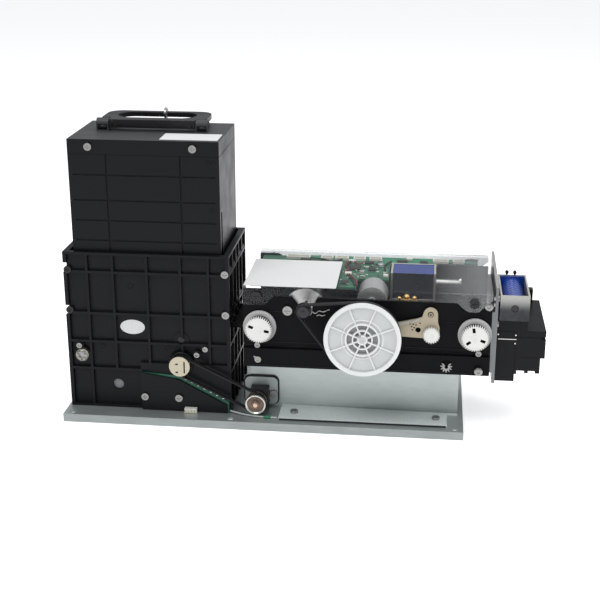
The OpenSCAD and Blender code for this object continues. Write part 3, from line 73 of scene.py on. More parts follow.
def hinge_place(joint):
    """Point on a hinge's axis."""
    found = next(j for j in frame["joints"] if j["name"] == joint)
    return [round(c / MM, 2) for c in found["pos_m"]]


# Axes of the rollers, gears, wheel, pulleys and pins
LEFT_X, _, AXIS_Z = middle("left_gear")
CENTRE_X = middle("drive_wheel")[0]
THIRD_X = middle("pinion")[0]
RIGHT_X = middle("right_gear")[0]
PINCH_Z = middle("centre_pinch_roller")[2]
PICK_X, _, PICK_Z = middle("pick_roller")
DISC_X, _, DISC_Z = middle("drive_shaft")
BUSH_X, _, BUSH_Z = middle("cross_shaft")
FEED_X, _, FEED_Z = middle("feed_pulley")
CORE_X, _, CORE_Z = middle("shutter_frame")
_, LATCH_Y, LATCH_Z = middle("latch_plunger")
LEVER_X, _, LEVER_Z = hinge_place("lever_swing")
_, HINGE_Y, HINGE_Z = hinge_place("handle_fold")
# Faces that trim pieces lie on
WHEEL_Y = span("drive_wheel", 1)[0]
DISH_Y = WHEEL_Y + 1.6
SLAB_Y = span("near_side_plate", 1)[0]
SIDE_Y = SLAB_Y + 2
SKIN_Y = span("frame_front_half", 1)[0] + 2.6
BEZEL_Y = span("bezel_housing", 1)[0]
CASE_X = span("cassette_body", 0)
CASE_Y = span("cassette_body", 1)[1]
CASE_TOP = span("cassette_body", 2)[1]
LID_TOP = CASE_TOP + 10.5
COVER_X = span("clear_cover", 0)
COVER_TOP = span("clear_cover", 2)[1]
BOARD_TOP = span("main_board", 2)[1]

# ---- Camera and light ----


def make_camera():
    """Camera in front of the object, looking down and turned a little to the left."""
    data = bpy.data.cameras.new("camera")
    data.lens, data.sensor_width = 72.0, 36.0
    data.clip_start, data.clip_end = 0.01, 20.0
    cam = bpy.data.objects.new("camera", data)
    scene.collection.objects.link(cam)
    yaw, pitch = math.radians(6.34), math.radians(19.3)
    level = math.cos(pitch)
    ahead = Vector((-math.sin(yaw) * level, math.cos(yaw) * level, -math.sin(pitch)))
    cam.location = (0.11447, -0.82464, 0.37155)
    cam.rotation_euler = ahead.to_track_quat("-Z", "Y").to_euler()
    scene.camera = cam


def area_light(name, place, target, size, power, color=(1, 1, 1)):
    data = bpy.data.lights.new(name, "AREA")
    data.shape, data.size, data.size_y = "RECTANGLE", size[0], size[1]
    data.energy, data.color = power, color
    lamp = bpy.data.objects.new(name, data)
    scene.collection.objects.link(lamp)
    lamp.location = place
    lamp.rotation_euler = (Vector(target) - Vector(place)).to_track_quat("-Z", "Y").to_euler()


def make_world():
    world = bpy.data.worlds.new("studio")
    scene.world = world
    world.use_nodes = True
    background = world.node_tree.nodes["Background"]
    background.inputs["Color"].default_value = (0.93, 0.96, 1.0, 1)
    background.inputs["Strength"].default_value = 0.5


make_camera()
make_world()
area_light("key_light", (-0.35, -0.75, 1.25), (0.0, 0.0, 0.08), (0.9, 0.6), 9.0)
area_light("top_light", (0.25, 0.35, 1.3), (0.0, 0.0, 0.1), (1.2, 0.9), 9.0)
area_light("side_light", (1.1, -0.2, 0.75), (0.05, 0.0, 0.1), (0.7, 0.7), 5.0)
scene.view_settings.view_transform = "Standard"

# ---- Materials ----


def material(name, color, rough=0.5, metal=0.0, spec=0.5, grain=900.0, stretch=(1, 1, 1), spread=0.06,
             rough_spread=0.06, bump=0.1, depth=0.05, edge=0.35, coat=0.0, alpha=1.0, second=None,
             blotch=60.0):
    """Principled material whose colour, roughness and bump come from noise in the part's own frame.

    grain and blotch are the scales of the fine and the broad noise; depth and edge are in millimetres.
    """
    m = bpy.data.materials.new(name)
    m.use_nodes = True
    t = m.node_tree
    n, link = t.nodes, t.links.new
    bsdf = n["Principled BSDF"]
    bsdf.inputs["Metallic"].default_value = metal
    bsdf.inputs["Specular IOR Level"].default_value = spec
    bsdf.inputs["Coat Weight"].default_value = coat
    bsdf.inputs["Coat Roughness"].default_value = 0.08
    coord, mapping = n.new("ShaderNodeTexCoord"), n.new("ShaderNodeMapping")
    mapping.inputs["Scale"].default_value = stretch
    link(coord.outputs["Object"], mapping.inputs["Vector"])
    fine, broad = n.new("ShaderNodeTexNoise"), n.new("ShaderNodeTexNoise")
    fine.inputs["Scale"].default_value, broad.inputs["Scale"].default_value = grain, blotch
    fine.inputs["Detail"].default_value, broad.inputs["Detail"].default_value = 3.0, 4.0
    link(mapping.outputs["Vector"], fine.inputs["Vector"])
    link(coord.outputs["Object"], broad.inputs["Vector"])
    tint = n.new("ShaderNodeMix")
    tint.data_type = "RGBA"
    dark = tuple(c * (1 - spread) for c in color)
    light = second or tuple(min(1, c * (1 + spread) + spread * 0.01) for c in color)
    tint.inputs["A"].default_value, tint.inputs["B"].default_value = (*dark, 1), (*light, 1)
    both = n.new("ShaderNodeMath")
    both.operation = "MULTIPLY_ADD"
    both.inputs[1].default_value = 0.5
    link(fine.outputs["Fac"], both.inputs[0])
    half = n.new("ShaderNodeMath")
    half.operation = "MULTIPLY"
    half.inputs[1].default_value = 0.5
    link(broad.outputs["Fac"], half.inputs[0])
    link(half.outputs[0], both.inputs[2])
    wide = n.new("ShaderNodeMapRange")
    wide.inputs["From Min"].default_value, wide.inputs["From Max"].default_value = 0.32, 0.68
    link(both.outputs[0], wide.inputs["Value"])
    link(wide.outputs["Result"], tint.inputs["Factor"])
    link(tint.outputs["Result"], bsdf.inputs["Base Color"])
    gloss = n.new("ShaderNodeMapRange")
    gloss.inputs["From Min"].default_value, gloss.inputs["From Max"].default_value = 0.3, 0.7
    gloss.inputs["To Min"].default_value = max(0.02, rough - rough_spread)
    gloss.inputs["To Max"].default_value = min(1.0, rough + rough_spread)
    link(broad.outputs["Fac"], gloss.inputs["Value"])
    link(gloss.outputs["Result"], bsdf.inputs["Roughness"])
    lump = n.new("ShaderNodeBump")
    lump.inputs["Strength"].default_value = bump
    lump.inputs["Distance"].default_value = depth * MM
    link(fine.outputs["Fac"], lump.inputs["Height"])
    if edge:
        soft = n.new("ShaderNodeBevel")
        soft.samples = 4
        soft.inputs["Radius"].default_value = edge * MM
        link(soft.outputs["Normal"], lump.inputs["Normal"])
    link(lump.outputs["Normal"], bsdf.inputs["Normal"])
    if alpha < 1:
        bsdf.inputs["Alpha"].default_value = alpha
        m.surface_render_method = "BLENDED"
    return m


black = material("black_plastic", (0.0052, 0.0057, 0.0062), 0.40, spec=0.14, grain=1600, bump=0.25,
                 depth=0.04)
case = material("cassette_plastic", (0.0050, 0.0055, 0.0060), 0.38, spec=0.14, grain=2200, bump=0.22,
                depth=0.03, edge=0.5)
soft_black = material("handle_plastic", (0.0062, 0.0064, 0.0068), 0.42, spec=0.32, grain=1500, bump=0.15,
                      depth=0.03, edge=0.9)
zinc = material("zinc_sheet", (0.44, 0.48, 0.47), 0.42, 0.72, grain=420, stretch=(0.25, 1, 1), spread=0.07,
                bump=0.10, depth=0.03, edge=0.3, blotch=38)
zinc_dark = material("zinc_plate", (0.37, 0.405, 0.40), 0.45, 0.7, grain=600, spread=0.08, bump=0.12,
                     depth=0.03)
bright = material("bright_steel", (0.62, 0.62, 0.60), 0.26, 1.0, grain=900, stretch=(0.1, 1, 1), spread=0.08,
                  bump=0.12, depth=0.02, edge=0.2)
screw_steel = material("screw_steel", (0.27, 0.27, 0.26), 0.30, 1.0, grain=1500, spread=0.1, bump=0.15,
                       depth=0.02, edge=0.25)
brushed = material("brushed_plate", (0.58, 0.58, 0.56), 0.34, 0.95, grain=700, stretch=(1, 0.06, 1),
                   spread=0.10, bump=0.16, depth=0.02, edge=0.25)
can = material("motor_can", (0.50, 0.50, 0.49), 0.38, 0.75, grain=800, stretch=(1, 0.08, 1), spread=0.08,
               bump=0.1, depth=0.02)
white = material("white_plastic", (0.67, 0.68, 0.675), 0.38, spec=0.5, grain=700, spread=0.03, bump=0.06,
                 depth=0.02, edge=0.3)
gear_white = material("gear_plastic", (0.66, 0.66, 0.63), 0.35, spec=0.5, grain=900, spread=0.05, bump=0.08,
                      depth=0.02, edge=0.2)
cream = material("cream_plastic", (0.50, 0.45, 0.335), 0.40, spec=0.5, grain=900, spread=0.06, bump=0.08,
                 depth=0.02, edge=0.25)
connector_white = material("connector_nylon", (0.62, 0.61, 0.55), 0.42, grain=900, spread=0.06, bump=0.08,
                           depth=0.02, edge=0.15)
rubber = material("belt_rubber", (0.010, 0.010, 0.0105), 0.62, spec=0.3, grain=1400, bump=0.3, depth=0.05,
                  edge=0.2)
roller = material("roller_rubber", (0.035, 0.035, 0.036), 0.7, spec=0.3, grain=1500, bump=0.3, depth=0.04)
board = material("circuit_board", (0.008, 0.085, 0.042), 0.35, spec=0.5, grain=300, spread=0.30, bump=0.15,
                 depth=0.03, second=(0.012, 0.135, 0.068), edge=0.1, blotch=160)
royal = material("blue_tape", (0.006, 0.038, 0.26), 0.16, spec=0.6, grain=120, spread=0.25, bump=0.25,
                 depth=0.12, coat=0.6, edge=0.3)
navy = material("navy_tape", (0.003, 0.005, 0.015), 0.3, spec=0.3, grain=140, spread=0.3, bump=0.2,
                depth=0.08, coat=0.15)
beige = material("beige_plate", (0.36, 0.31, 0.225), 0.42, 0.35, grain=900, spread=0.07, bump=0.12,
                 depth=0.02, edge=0.2)
black_screw = material("black_screw", (0.016, 0.016, 0.016), 0.33, 0.5, grain=1500, spread=0.15, bump=0.15,
                       depth=0.02)
dark_metal = material("dark_metal", (0.02, 0.02, 0.021), 0.45, 0.3, grain=1000, spread=0.12, bump=0.15,
                      depth=0.02)
bronze = material("bronze", (0.17, 0.125, 0.095), 0.36, 0.85, grain=900, spread=0.15, bump=0.15, depth=0.02)
copper = material("shaft_end", (0.62, 0.44, 0.34), 0.3, 0.9, grain=900, spread=0.1, bump=0.12, depth=0.02,
                  edge=0.2)
gold = material("gold_wire", (0.62, 0.38, 0.12), 0.3, 0.9, grain=900, spread=0.15, bump=0.15, depth=0.02,
                edge=0.1)
jacket = material("wire_jacket", (0.42, 0.45, 0.43), 0.5, grain=900, spread=0.06, bump=0.08, depth=0.02,
                  edge=0)
green = material("sleeve_green", (0.01, 0.14, 0.065), 0.42, grain=900, spread=0.15, bump=0.15, depth=0.03,
                 edge=0.2)
red_wire = material("wire_red", (0.16, 0.006, 0.012), 0.42, grain=900, spread=0.12, bump=0.1, depth=0.02,
                    edge=0)
black_wire = material("wire_black", (0.008, 0.008, 0.008), 0.42, grain=900, spread=0.12, bump=0.1,
                      depth=0.02, edge=0)
paper = material("blank_paper", (0.60, 0.60, 0.595), 0.55, spec=0.35, grain=1800, spread=0.025, bump=0.12,
                 depth=0.02, edge=0.1)
clear = material("clear_cover", (0.34, 0.35, 0.355), 0.16, spec=0.45, grain=250, spread=0.10, bump=0.03,
                 depth=0.03, edge=0.3, alpha=0.10, rough_spread=0.05)
# Near black for the seams, which are dark joints, and painted shade in holes, slots and recesses
joint_and_hollow_shade = material("dark_joint_and_hollow_shade", (0.004, 0.004, 0.004), 0.8, spec=0.1, grain=900, spread=0.2, bump=0.1,
                  depth=0.02, edge=0)
chip = material("chip_black", (0.012, 0.012, 0.013), 0.45, spec=0.4, grain=1500, spread=0.15, bump=0.2,
                depth=0.02, edge=0.15)
solder = material("solder", (0.60, 0.60, 0.58), 0.3, 1.0, grain=1500, spread=0.1, bump=0.15, depth=0.02,
                  edge=0.1)
grey = material("grey_inner", (0.17, 0.18, 0.19), 0.5, 0.2, grain=900, spread=0.1, bump=0.1, depth=0.02)
wheel_dish = material("wheel_dish", (0.50, 0.51, 0.51), 0.42, grain=500, spread=0.04, bump=0.08, depth=0.02,
                      edge=0.2)
wheel_slot = material("wheel_slot", (0.30, 0.31, 0.31), 0.5, grain=500, spread=0.08, bump=0.08, depth=0.02,
                      edge=0.2)
blue_film = material("blue_film", (0.010, 0.034, 0.20), 0.32, spec=0.3, grain=110, spread=0.25, bump=0.2,
                     depth=0.06, coat=0.15, edge=0.2)
green_edge = material("board_edge", (0.010, 0.095, 0.055), 0.45, grain=500, spread=0.2, bump=0.12,
                      depth=0.03, edge=0.1)
# Lighter green for the main board's back strip: painted light
board_lit_strip = material("board_lit_strip", (0.010, 0.17, 0.085), 0.38, grain=300, spread=0.15, bump=0.12, depth=0.03,
                     edge=0.1)
warm_steel = material("warm_steel", (0.72, 0.69, 0.61), 0.3, 0.85, grain=900, spread=0.08, bump=0.12,
                      depth=0.02, edge=0.25)
# Darker copy of the zinc sheet for the base plate's front face: painted shade
zinc_front_shade = material("zinc_front_shade", (0.30, 0.325, 0.32), 0.4, 0.7, grain=420, stretch=(0.2, 1, 1), spread=0.10,
                     bump=0.12, depth=0.03, edge=0.35, blotch=50)
side_black = material("side_black", (0.0030, 0.0033, 0.0037), 0.48, spec=0.08, grain=1600, bump=0.22,
                      depth=0.04)
# Lighter copy of the cassette black for the lid's top face: painted sheen
lid_top_sheen = material("lid_top_sheen", (0.030, 0.0312, 0.0325), 0.54, spec=0.45, grain=2200, bump=0.22,
                     depth=0.03, edge=0.5)
# Lighter copy of the zinc for the bracket's foot: painted light
zinc_foot_lit = material("zinc_foot_lit", (0.72, 0.77, 0.76), 0.5, 0.35, grain=420, spread=0.06, bump=0.1,
                     depth=0.03, edge=0.3)
zinc_shade = material("zinc_shade", (0.10, 0.11, 0.11), 0.5, 0.5, grain=420, spread=0.08, bump=0.1,
                      depth=0.03, edge=0.3)
# Dark copy of the steel for the shutter frame's front face: painted dark reflection, lit towards the top
# below
shutter_face_reflection = material("shutter_face_reflection_lit_top", (0.014, 0.016, 0.018), 0.40, 0.5, grain=260, spread=0.35, bump=0.15,
                  depth=0.03, second=(0.040, 0.044, 0.048), edge=0.2, blotch=90)
# Dark copy of the steel for the front plate's near face: painted dark reflection
plate_face_dark_reflection = material("plate_face_dark_reflection", (0.17, 0.175, 0.18), 0.42, 0.6, grain=700, stretch=(1, 1, 0.1),
                      spread=0.12, bump=0.12, depth=0.02, edge=0.2)
# Pale, half-opaque copy of the clear cover for its back: painted reflection
cover_back_glare = material("cover_back_painted_reflection", (0.62, 0.64, 0.65), 0.3, spec=0.6, grain=250, spread=0.05, bump=0.03,
                depth=0.03, edge=0.3, alpha=0.45)
# Darker grey for the roller flanges: painted shade, lit towards the top below
flange_shade_lit_top = material("flange_shade_lit_top", (0.25, 0.25, 0.245), 0.42, grain=700, spread=0.08, bump=0.1,
                       depth=0.02, edge=0.2)
# Lighter grey for the faces of the black bezel's slot: painted light coming through the slit
slot_painted_light = material("slot_edge_painted_light", (0.10, 0.105, 0.11), 0.4, grain=900, spread=0.1, bump=0.1, depth=0.02,
                      edge=0.2)


def paint_light_upwards(m, low, high, color):
    """Painted light: blends a material's colour towards another, lighter one with height, from low to high
    in mm.
    """
    t = m.node_tree
    bsdf = t.nodes["Principled BSDF"]
    base = bsdf.inputs["Base Color"].links[0].from_socket
    coord, split = t.nodes.new("ShaderNodeTexCoord"), t.nodes.new("ShaderNodeSeparateXYZ")
    ramp, blend = t.nodes.new("ShaderNodeMapRange"), t.nodes.new("ShaderNodeMix")
    blend.data_type = "RGBA"
    ramp.interpolation_type = "SMOOTHSTEP"
    ramp.inputs["From Min"].default_value, ramp.inputs["From Max"].default_value = low * MM, high * MM
    t.links.new(coord.outputs["Object"], split.inputs[0])
    t.links.new(split.outputs["Z"], ramp.inputs["Value"])
    t.links.new(ramp.outputs["Result"], blend.inputs["Factor"])
    t.links.new(base, blend.inputs["A"])
    blend.inputs["B"].default_value = (*color, 1)
    t.links.new(blend.outputs["Result"], bsdf.inputs["Base Color"])


def paint_reflection_along(m, low, high, thin, thick):
    """Painted reflection: makes a clear material more opaque along X, from low to high in mm."""
    t = m.node_tree
    coord, split = t.nodes.new("ShaderNodeTexCoord"), t.nodes.new("ShaderNodeSeparateXYZ")
    ramp = t.nodes.new("ShaderNodeMapRange")
    ramp.inputs["From Min"].default_value, ramp.inputs["From Max"].default_value = low * MM, high * MM
    ramp.inputs["To Min"].default_value, ramp.inputs["To Max"].default_value = thin, thick
    t.links.new(coord.outputs["Object"], split.inputs[0])
    t.links.new(split.outputs["X"], ramp.inputs["Value"])
    t.links.new(ramp.outputs["Result"], t.nodes["Principled BSDF"].inputs["Alpha"])


# Painted light: the shutter frame's dark front face grows lighter towards its top
paint_light_upwards(shutter_face_reflection, 93, 104, (0.36, 0.36, 0.34))
# Painted reflection: the clear cover grows more opaque towards its right end
paint_reflection_along(clear, 118, 152, 0.04, 0.28)
# Painted light: the shaded roller flanges grow lighter towards their top
paint_light_upwards(flange_shade_lit_top, 70, 88, (0.52, 0.52, 0.51))

NODE_MATERIAL = {
    zinc: ["base_plate", "transport_bracket"],
    zinc_dark: ["motor_mount_plate"],
    black: ["frame_front_half", "frame_rear_half", "board_cover_plate", "bezel_housing", "bezel_mouth"],
    side_black: ["near_side_plate", "far_side_plate", "lower_guide", "upper_guide"],
    case: ["cassette_body", "cassette_lid"],
    soft_black: ["handle"],
    screw_steel: ["machine_screws", "lid_screws", "key"],
    bright: ["drive_shaft", "left_roller", "centre_roller", "third_roller", "right_roller", "latch_frame",
             "latch_plunger", "shutter", "shutter_plunger", "read_head"],
    brushed: ["front_plate", "shutter_frame"],
    can: ["main_motor", "aux_motor"],
    white: ["drive_wheel"],
    gear_white: ["left_gear", "right_gear", "pinion"],
    cream: ["cross_shaft", "drive_disc", "pick_gear"],
    connector_white: ["board_connectors"],
    rubber: ["feed_belt", "roller_belt", "drive_belt"],
    roller: ["pick_roller", "left_pinch_roller", "centre_pinch_roller", "right_pinch_roller"],
    board: ["stacker_board", "main_board"],
    royal: ["shutter_coil"],
    navy: ["latch_coil"],
    beige: ["swing_lever"],
    black_screw: ["transport_screws"],
    dark_metal: ["feed_motor", "pusher_plate", "motor_pulley"],
    bronze: ["shutter_lever", "feed_pulley"],
    clear: ["clear_cover"],
}
for mat, names in NODE_MATERIAL.items():
    for name in names:
        nodes[name].data.materials.clear()
        nodes[name].data.materials.append(mat)


def repaint(node, mat, where):
    """Gives a second material to the faces of a CAD node whose centre, in mm, passes the test."""
    mesh = nodes[node].data
    mesh.materials.append(mat)
    index = len(mesh.materials) - 1
    for p in mesh.polygons:
        if where(p.center.x / MM, p.center.y / MM, p.center.z / MM):
            p.material_index = index


FAR = 1000


def ring(axis, radii, between=(-FAR, FAR)):
    """Test for faces by their distance from an axis that runs along Y, and by their Y."""
    def where(x, y, z):
        return radii[0] < math.hypot(x - axis[0], z - axis[1]) < radii[1] and between[0] < y < between[1]
    return where


def sleeve(axis):
    """Test for the two rubber sleeves of a roller."""
    around = ring(axis, (2.3, FAR))
    return lambda x, y, z: abs(abs(y) - 15) < 6.3 and around(x, y, z)


for side, axis_x in (("left", LEFT_X), ("centre", CENTRE_X), ("third", THIRD_X), ("right", RIGHT_X)):
    repaint(side + "_roller", roller, sleeve((axis_x, AXIS_Z)))
for side, axis_x in (("left", LEFT_X), ("centre", CENTRE_X), ("right", RIGHT_X)):
    repaint(side + "_pinch_roller", bright, ring((axis_x, PINCH_Z), (-1, 1.7)))
repaint("pick_roller", black_screw, ring((PICK_X, PICK_Z), (-1, 3)))
repaint("cross_shaft", screw_steel, ring((BUSH_X, BUSH_Z), (-1, 2.2)))
repaint("feed_pulley", bright, ring((FEED_X, FEED_Z), (6.4, FAR), (-FAR, -42)))
repaint("feed_pulley", copper, ring((FEED_X, FEED_Z), (-1, 1.8)))
repaint("transport_screws", screw_steel, lambda x, y, z: not (z > 94 and abs(y) > 36 and x < 156))

# ---- Mesh helpers, all in millimetres ----


def put_box(bm, x, y, z, bevel=0.0):
    """Box between pairs of coordinates, with its edges rounded by bevel."""
    made = bmesh.ops.create_cube(bm, size=1.0)["verts"]
    size = Vector((x[1] - x[0], y[1] - y[0], z[1] - z[0]))
    mid = Vector(((x[0] + x[1]) / 2, (y[0] + y[1]) / 2, (z[0] + z[1]) / 2))
    for v in made:
        v.co = Vector(v.co[i] * size[i] for i in range(3)) + mid
    if bevel:
        edges = list({e for v in made for e in v.link_edges})
        bmesh.ops.bevel(bm, geom=edges, offset=bevel, segments=2, profile=0.5, affect="EDGES")


def put_strip(bm, x, z, face, proud=0.06, sunk=0.05, bevel=0.0):
    """Flat box on a face that looks towards -Y."""
    put_box(bm, x, (face - proud, face + sunk), z, bevel)


def put_lathe(bm, base, axis, profile, steps):
    """Turned shape: profile is a list of (distance along the axis, radius) from base."""
    axis = Vector(axis).normalized()
    side = axis.orthogonal().normalized()
    up = axis.cross(side)
    rings = []
    for along, radius in profile:
        centre = Vector(base) + axis * along
        if radius < 1e-6:
            rings.append([bm.verts.new(centre)])
        else:
            rings.append([bm.verts.new(centre + radius * (math.cos(a) * side + math.sin(a) * up))
                          for a in (2 * math.pi * k / steps for k in range(steps))])
    for low, high in zip(rings, rings[1:]):
        for k in range(steps):
            j = (k + 1) % steps
            corners = [low[k % len(low)], low[j % len(low)], high[j % len(high)], high[k % len(high)]]
            unique = list(dict.fromkeys(corners))
            if len(unique) > 2:
                bm.faces.new(unique)


def put_tube(bm, path, radius, sides):
    """Round tube along a path, closed at both ends."""
    path = [Vector(p) for p in path]
    side = None
    rings = []
    for i, p in enumerate(path):
        ahead = (path[min(i + 1, len(path) - 1)] - path[max(i - 1, 0)]).normalized()
        if side is None:
            side = ahead.orthogonal().normalized()
        side = (side - ahead * side.dot(ahead)).normalized()
        up = ahead.cross(side)
        rings.append([bm.verts.new(p + radius * (math.cos(a) * side + math.sin(a) * up))
                      for a in (2 * math.pi * k / sides for k in range(sides))])
    for low, high in zip(rings, rings[1:]):
        for k in range(sides):
            bm.faces.new([low[k], low[(k + 1) % sides], high[(k + 1) % sides], high[k]])
    bm.faces.new(rings[0][::-1])
    bm.faces.new(rings[-1])


def put_plate(bm, outline, place, thick):
    """Prism over a flat outline: place turns (u, v, w) into a point, w runs from 0 to thick."""
    low = [bm.verts.new(place(u, v, 0.0)) for u, v in outline]
    high = [bm.verts.new(place(u, v, thick)) for u, v in outline]
    bm.faces.new(low[::-1])
    bm.faces.new(high)
    for i in range(len(low)):
        j = (i + 1) % len(low)
        bm.faces.new([low[i], low[j], high[j], high[i]])


def round_rect(w, h, r):
    """Outline of a rectangle with round corners, about its middle."""
    steps = 6
    points = []
    for sx, sy, start in ((1, 1, 0), (-1, 1, 90), (-1, -1, 180), (1, -1, 270)):
        for k in range(steps + 1):
            a = math.radians(start + 90 * k / steps)
            points.append((sx * (w / 2 - r) + r * math.cos(a), sy * (h / 2 - r) + r * math.sin(a)))
    return points


def circle(r, steps, squash):
    """Outline of a circle whose height is scaled by squash."""
    turns = [2 * math.pi * k / steps for k in range(steps)]
    return [(r * math.cos(a), r * squash * math.sin(a)) for a in turns]


def smooth_path(points, steps):
    """Catmull-Rom curve through the points."""
    pts = [Vector(p) for p in points]
    pts = [pts[0] * 2 - pts[1]] + pts + [pts[-1] * 2 - pts[-2]]
    out = []
    for a, b, c, d in zip(pts, pts[1:], pts[2:], pts[3:]):
        for k in range(steps):
            t = k / steps
            square = (2 * a - 5 * b + 4 * c - d) * t * t
            cube = (3 * b - a - 3 * c + d) * t ** 3
            out.append(0.5 * ((2 * b) + (c - a) * t + square + cube))
    out.append(pts[-2])
    return out


def helix(start, end, radius, turns, per_turn=14):
    """Path of a coil spring between two points."""
    start, end = Vector(start), Vector(end)
    axis = (end - start).normalized()
    side = axis.orthogonal().normalized()
    up = axis.cross(side)
    count = int(turns * per_turn)
    path = []
    for k in range(count + 1):
        a = 2 * math.pi * k / per_turn
        path.append(start + (end - start) * (k / count) + radius * (math.cos(a) * side + math.sin(a) * up))
    return path


def piece(name, bm, mat, body):
    """Turns a bmesh in mm into an object in metres that rides on a body."""
    bmesh.ops.recalc_face_normals(bm, faces=bm.faces)
    bmesh.ops.scale(bm, vec=(MM, MM, MM), verts=bm.verts)
    mesh = bpy.data.meshes.new(name)
    bm.to_mesh(mesh)
    bm.free()
    mesh.shade_smooth()
    mesh.set_sharp_from_angle(angle=math.radians(35))
    mesh.materials.append(mat)
    obj = bpy.data.objects.new(name, mesh)
    scene.collection.objects.link(obj)
    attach(obj, body)
    return obj


def on_near(y):
    """Flat pieces that lie on a face that looks towards -Y; u is X, v is Z, w stands proud."""
    return lambda u, v, w: Vector((u, y - w, v))


def on_top(z):
    """Flat pieces that lie on a face that looks up; u is X, v is Y."""
    return lambda u, v, w: Vector((u, v, z + w))


def moved(outline, du, dv):
    return [(u + du, v + dv) for u, v in outline]


# ---- Second materials on single faces of the CAD nodes ----
repaint("drive_wheel", wheel_dish, ring((CENTRE_X, AXIS_Z), (12, 23.6), (DISH_Y - 0.1, DISH_Y + 0.1)))
repaint("drive_wheel", wheel_slot, ring((CENTRE_X, AXIS_Z), (3.6, 10.9), (-61.2, -60.9)))
for side, axis_x in (("left", LEFT_X), ("right", RIGHT_X)):
    repaint(side + "_gear", black, ring((axis_x, AXIS_Z), (2.3, FAR), (-49.9, -43)))
    # Painted shade on the gears' faces round the hub
    repaint(side + "_gear", joint_and_hollow_shade, ring((axis_x, AXIS_Z), (3.9, 8.6), (-51.6, -49.85)))
    # Painted shade on the roller flanges
    repaint(side + "_roller", flange_shade_lit_top, ring((axis_x, AXIS_Z), (2.4, FAR), (-FAR, -43.8)))
# Painted shade in the slots of the cream disc
repaint("drive_disc", joint_and_hollow_shade, lambda x, y, z: -44.5 < y < -44.2)
repaint("latch_coil", blue_film, lambda x, y, z: z > 103.3)
repaint("stacker_board", green_edge, lambda x, y, z: y > -39.3)
# Painted light on the main board's back strip
repaint("main_board", board_lit_strip, lambda x, y, z: z > BOARD_TOP - 0.1 and y > 30)
# Painted dark reflection on the front plate's near face
repaint("front_plate", plate_face_dark_reflection, lambda x, y, z: y < -43)
# Painted sheen on the lid's top face
repaint("cassette_lid", lid_top_sheen, lambda x, y, z: z > LID_TOP - 0.22)
repaint("transport_bracket", zinc_shade, lambda x, y, z: 15 < y < 22 and z > 8)
repaint("machine_screws", black_screw, lambda x, y, z: x < -136 and z > 60)
# Painted light on the bracket's foot
repaint("transport_bracket", zinc_foot_lit, lambda x, y, z: z < 8.2 and y < -25)
# Painted reflection on the back of the clear cover
repaint("clear_cover", cover_back_glare, lambda x, y, z: y > 43.5 and z > 92)
# Painted dark reflection on the shutter frame's front face
repaint("shutter_frame", shutter_face_reflection, lambda x, y, z: y < -41 and z < 104)
repaint("shutter_frame", warm_steel, lambda x, y, z: z > 104.3 or x > 183.6)
repaint("latch_frame", warm_steel, lambda x, y, z: z > 103.7 or y < 2)
# Painted shade on the base plate's front face
repaint("base_plate", zinc_front_shade, lambda x, y, z: y < -53.9)
# Painted light on the faces of the media slot
repaint("bezel_mouth", slot_painted_light, lambda x, y, z: x > 195.3 and 69.5 < z < 72.1 and y < -33.0)

# ---- Labels, all blank ----
bm = bmesh.new()
put_plate(bm, moved(circle(9, 48, 0.61), -94.2, 68.4), on_near(SKIN_Y - 0.02), 0.15)
piece("frame_label", bm, paper, "chassis")
bm = bmesh.new()
put_plate(bm, moved(round_rect(40.5, 21.5, 0.8), -50.75, -18.8), on_top(LID_TOP + 0.01), 0.12)
piece("lid_label", bm, paper, "cassette")
bm = bmesh.new()
put_plate(bm, moved(round_rect(64.5, 62, 0.8), 20.4, -13.9), on_top(COVER_TOP + 0.02), 0.12)
piece("cover_label", bm, paper, "chassis")

# ---- Stacker ----
EJECTOR_MARKS = ((-39.4, 78.1), (-127.9, 80.6), (-69.3, 53.5), (-116.9, 52.6), (-40.5, 34.2), (-94.5, 99.0))
MARK_PROFILE = [(0, 2.1), (0.28, 2.0), (0.28, 1.6), (0.05, 1.5), (0.05, 0)]
bm = bmesh.new()
for u, v in EJECTOR_MARKS:
    put_lathe(bm, (u, SKIN_Y + 0.02, v), NEAR, MARK_PROFILE, 28)
piece("frame_ejector_marks", bm, black, "chassis")
# Inner lip that backs the gap between the corner post and the front skin
bm = bmesh.new()
for x0, x1 in ((-140.2, -138.2), (-26.8, -24.8)):
    put_box(bm, (x0, x1), (SKIN_Y + 0.1, SKIN_Y + 2.6), (8.0, 122.0), 0.2)
piece("frame_corner_lips", bm, black, "chassis")
bm = bmesh.new()
put_lathe(bm, (-106.8, -33.7, 23.3), NEAR, [(-0.6, 4.6), (0, 4.6), (0.25, 3.4), (0.4, 1.6), (0.45, 0)], 36)
piece("sight_window", bm, grey, "chassis")
# Clip and slots on the end of the cross shaft's bush
BUSH_Y = span("cross_shaft", 1)[0]
CLIP_AT, CLIP_HALF = 2.9, 0.6
bm = bmesh.new()
put_lathe(bm, (BUSH_X, BUSH_Y, BUSH_Z), NEAR, [(0, 4.3), (0.5, 4.1), (0.9, 3.5), (0.9, 2.3)], 36)
for a in (90, 210, 330):
    u = BUSH_X + CLIP_AT * math.cos(math.radians(a))
    v = BUSH_Z + CLIP_AT * math.sin(math.radians(a))
    put_strip(bm, (u - CLIP_HALF, u + CLIP_HALF), (v - CLIP_HALF, v + CLIP_HALF), BUSH_Y, 1.5, -0.7, 0.15)
piece("bush_clip", bm, screw_steel, "chassis")
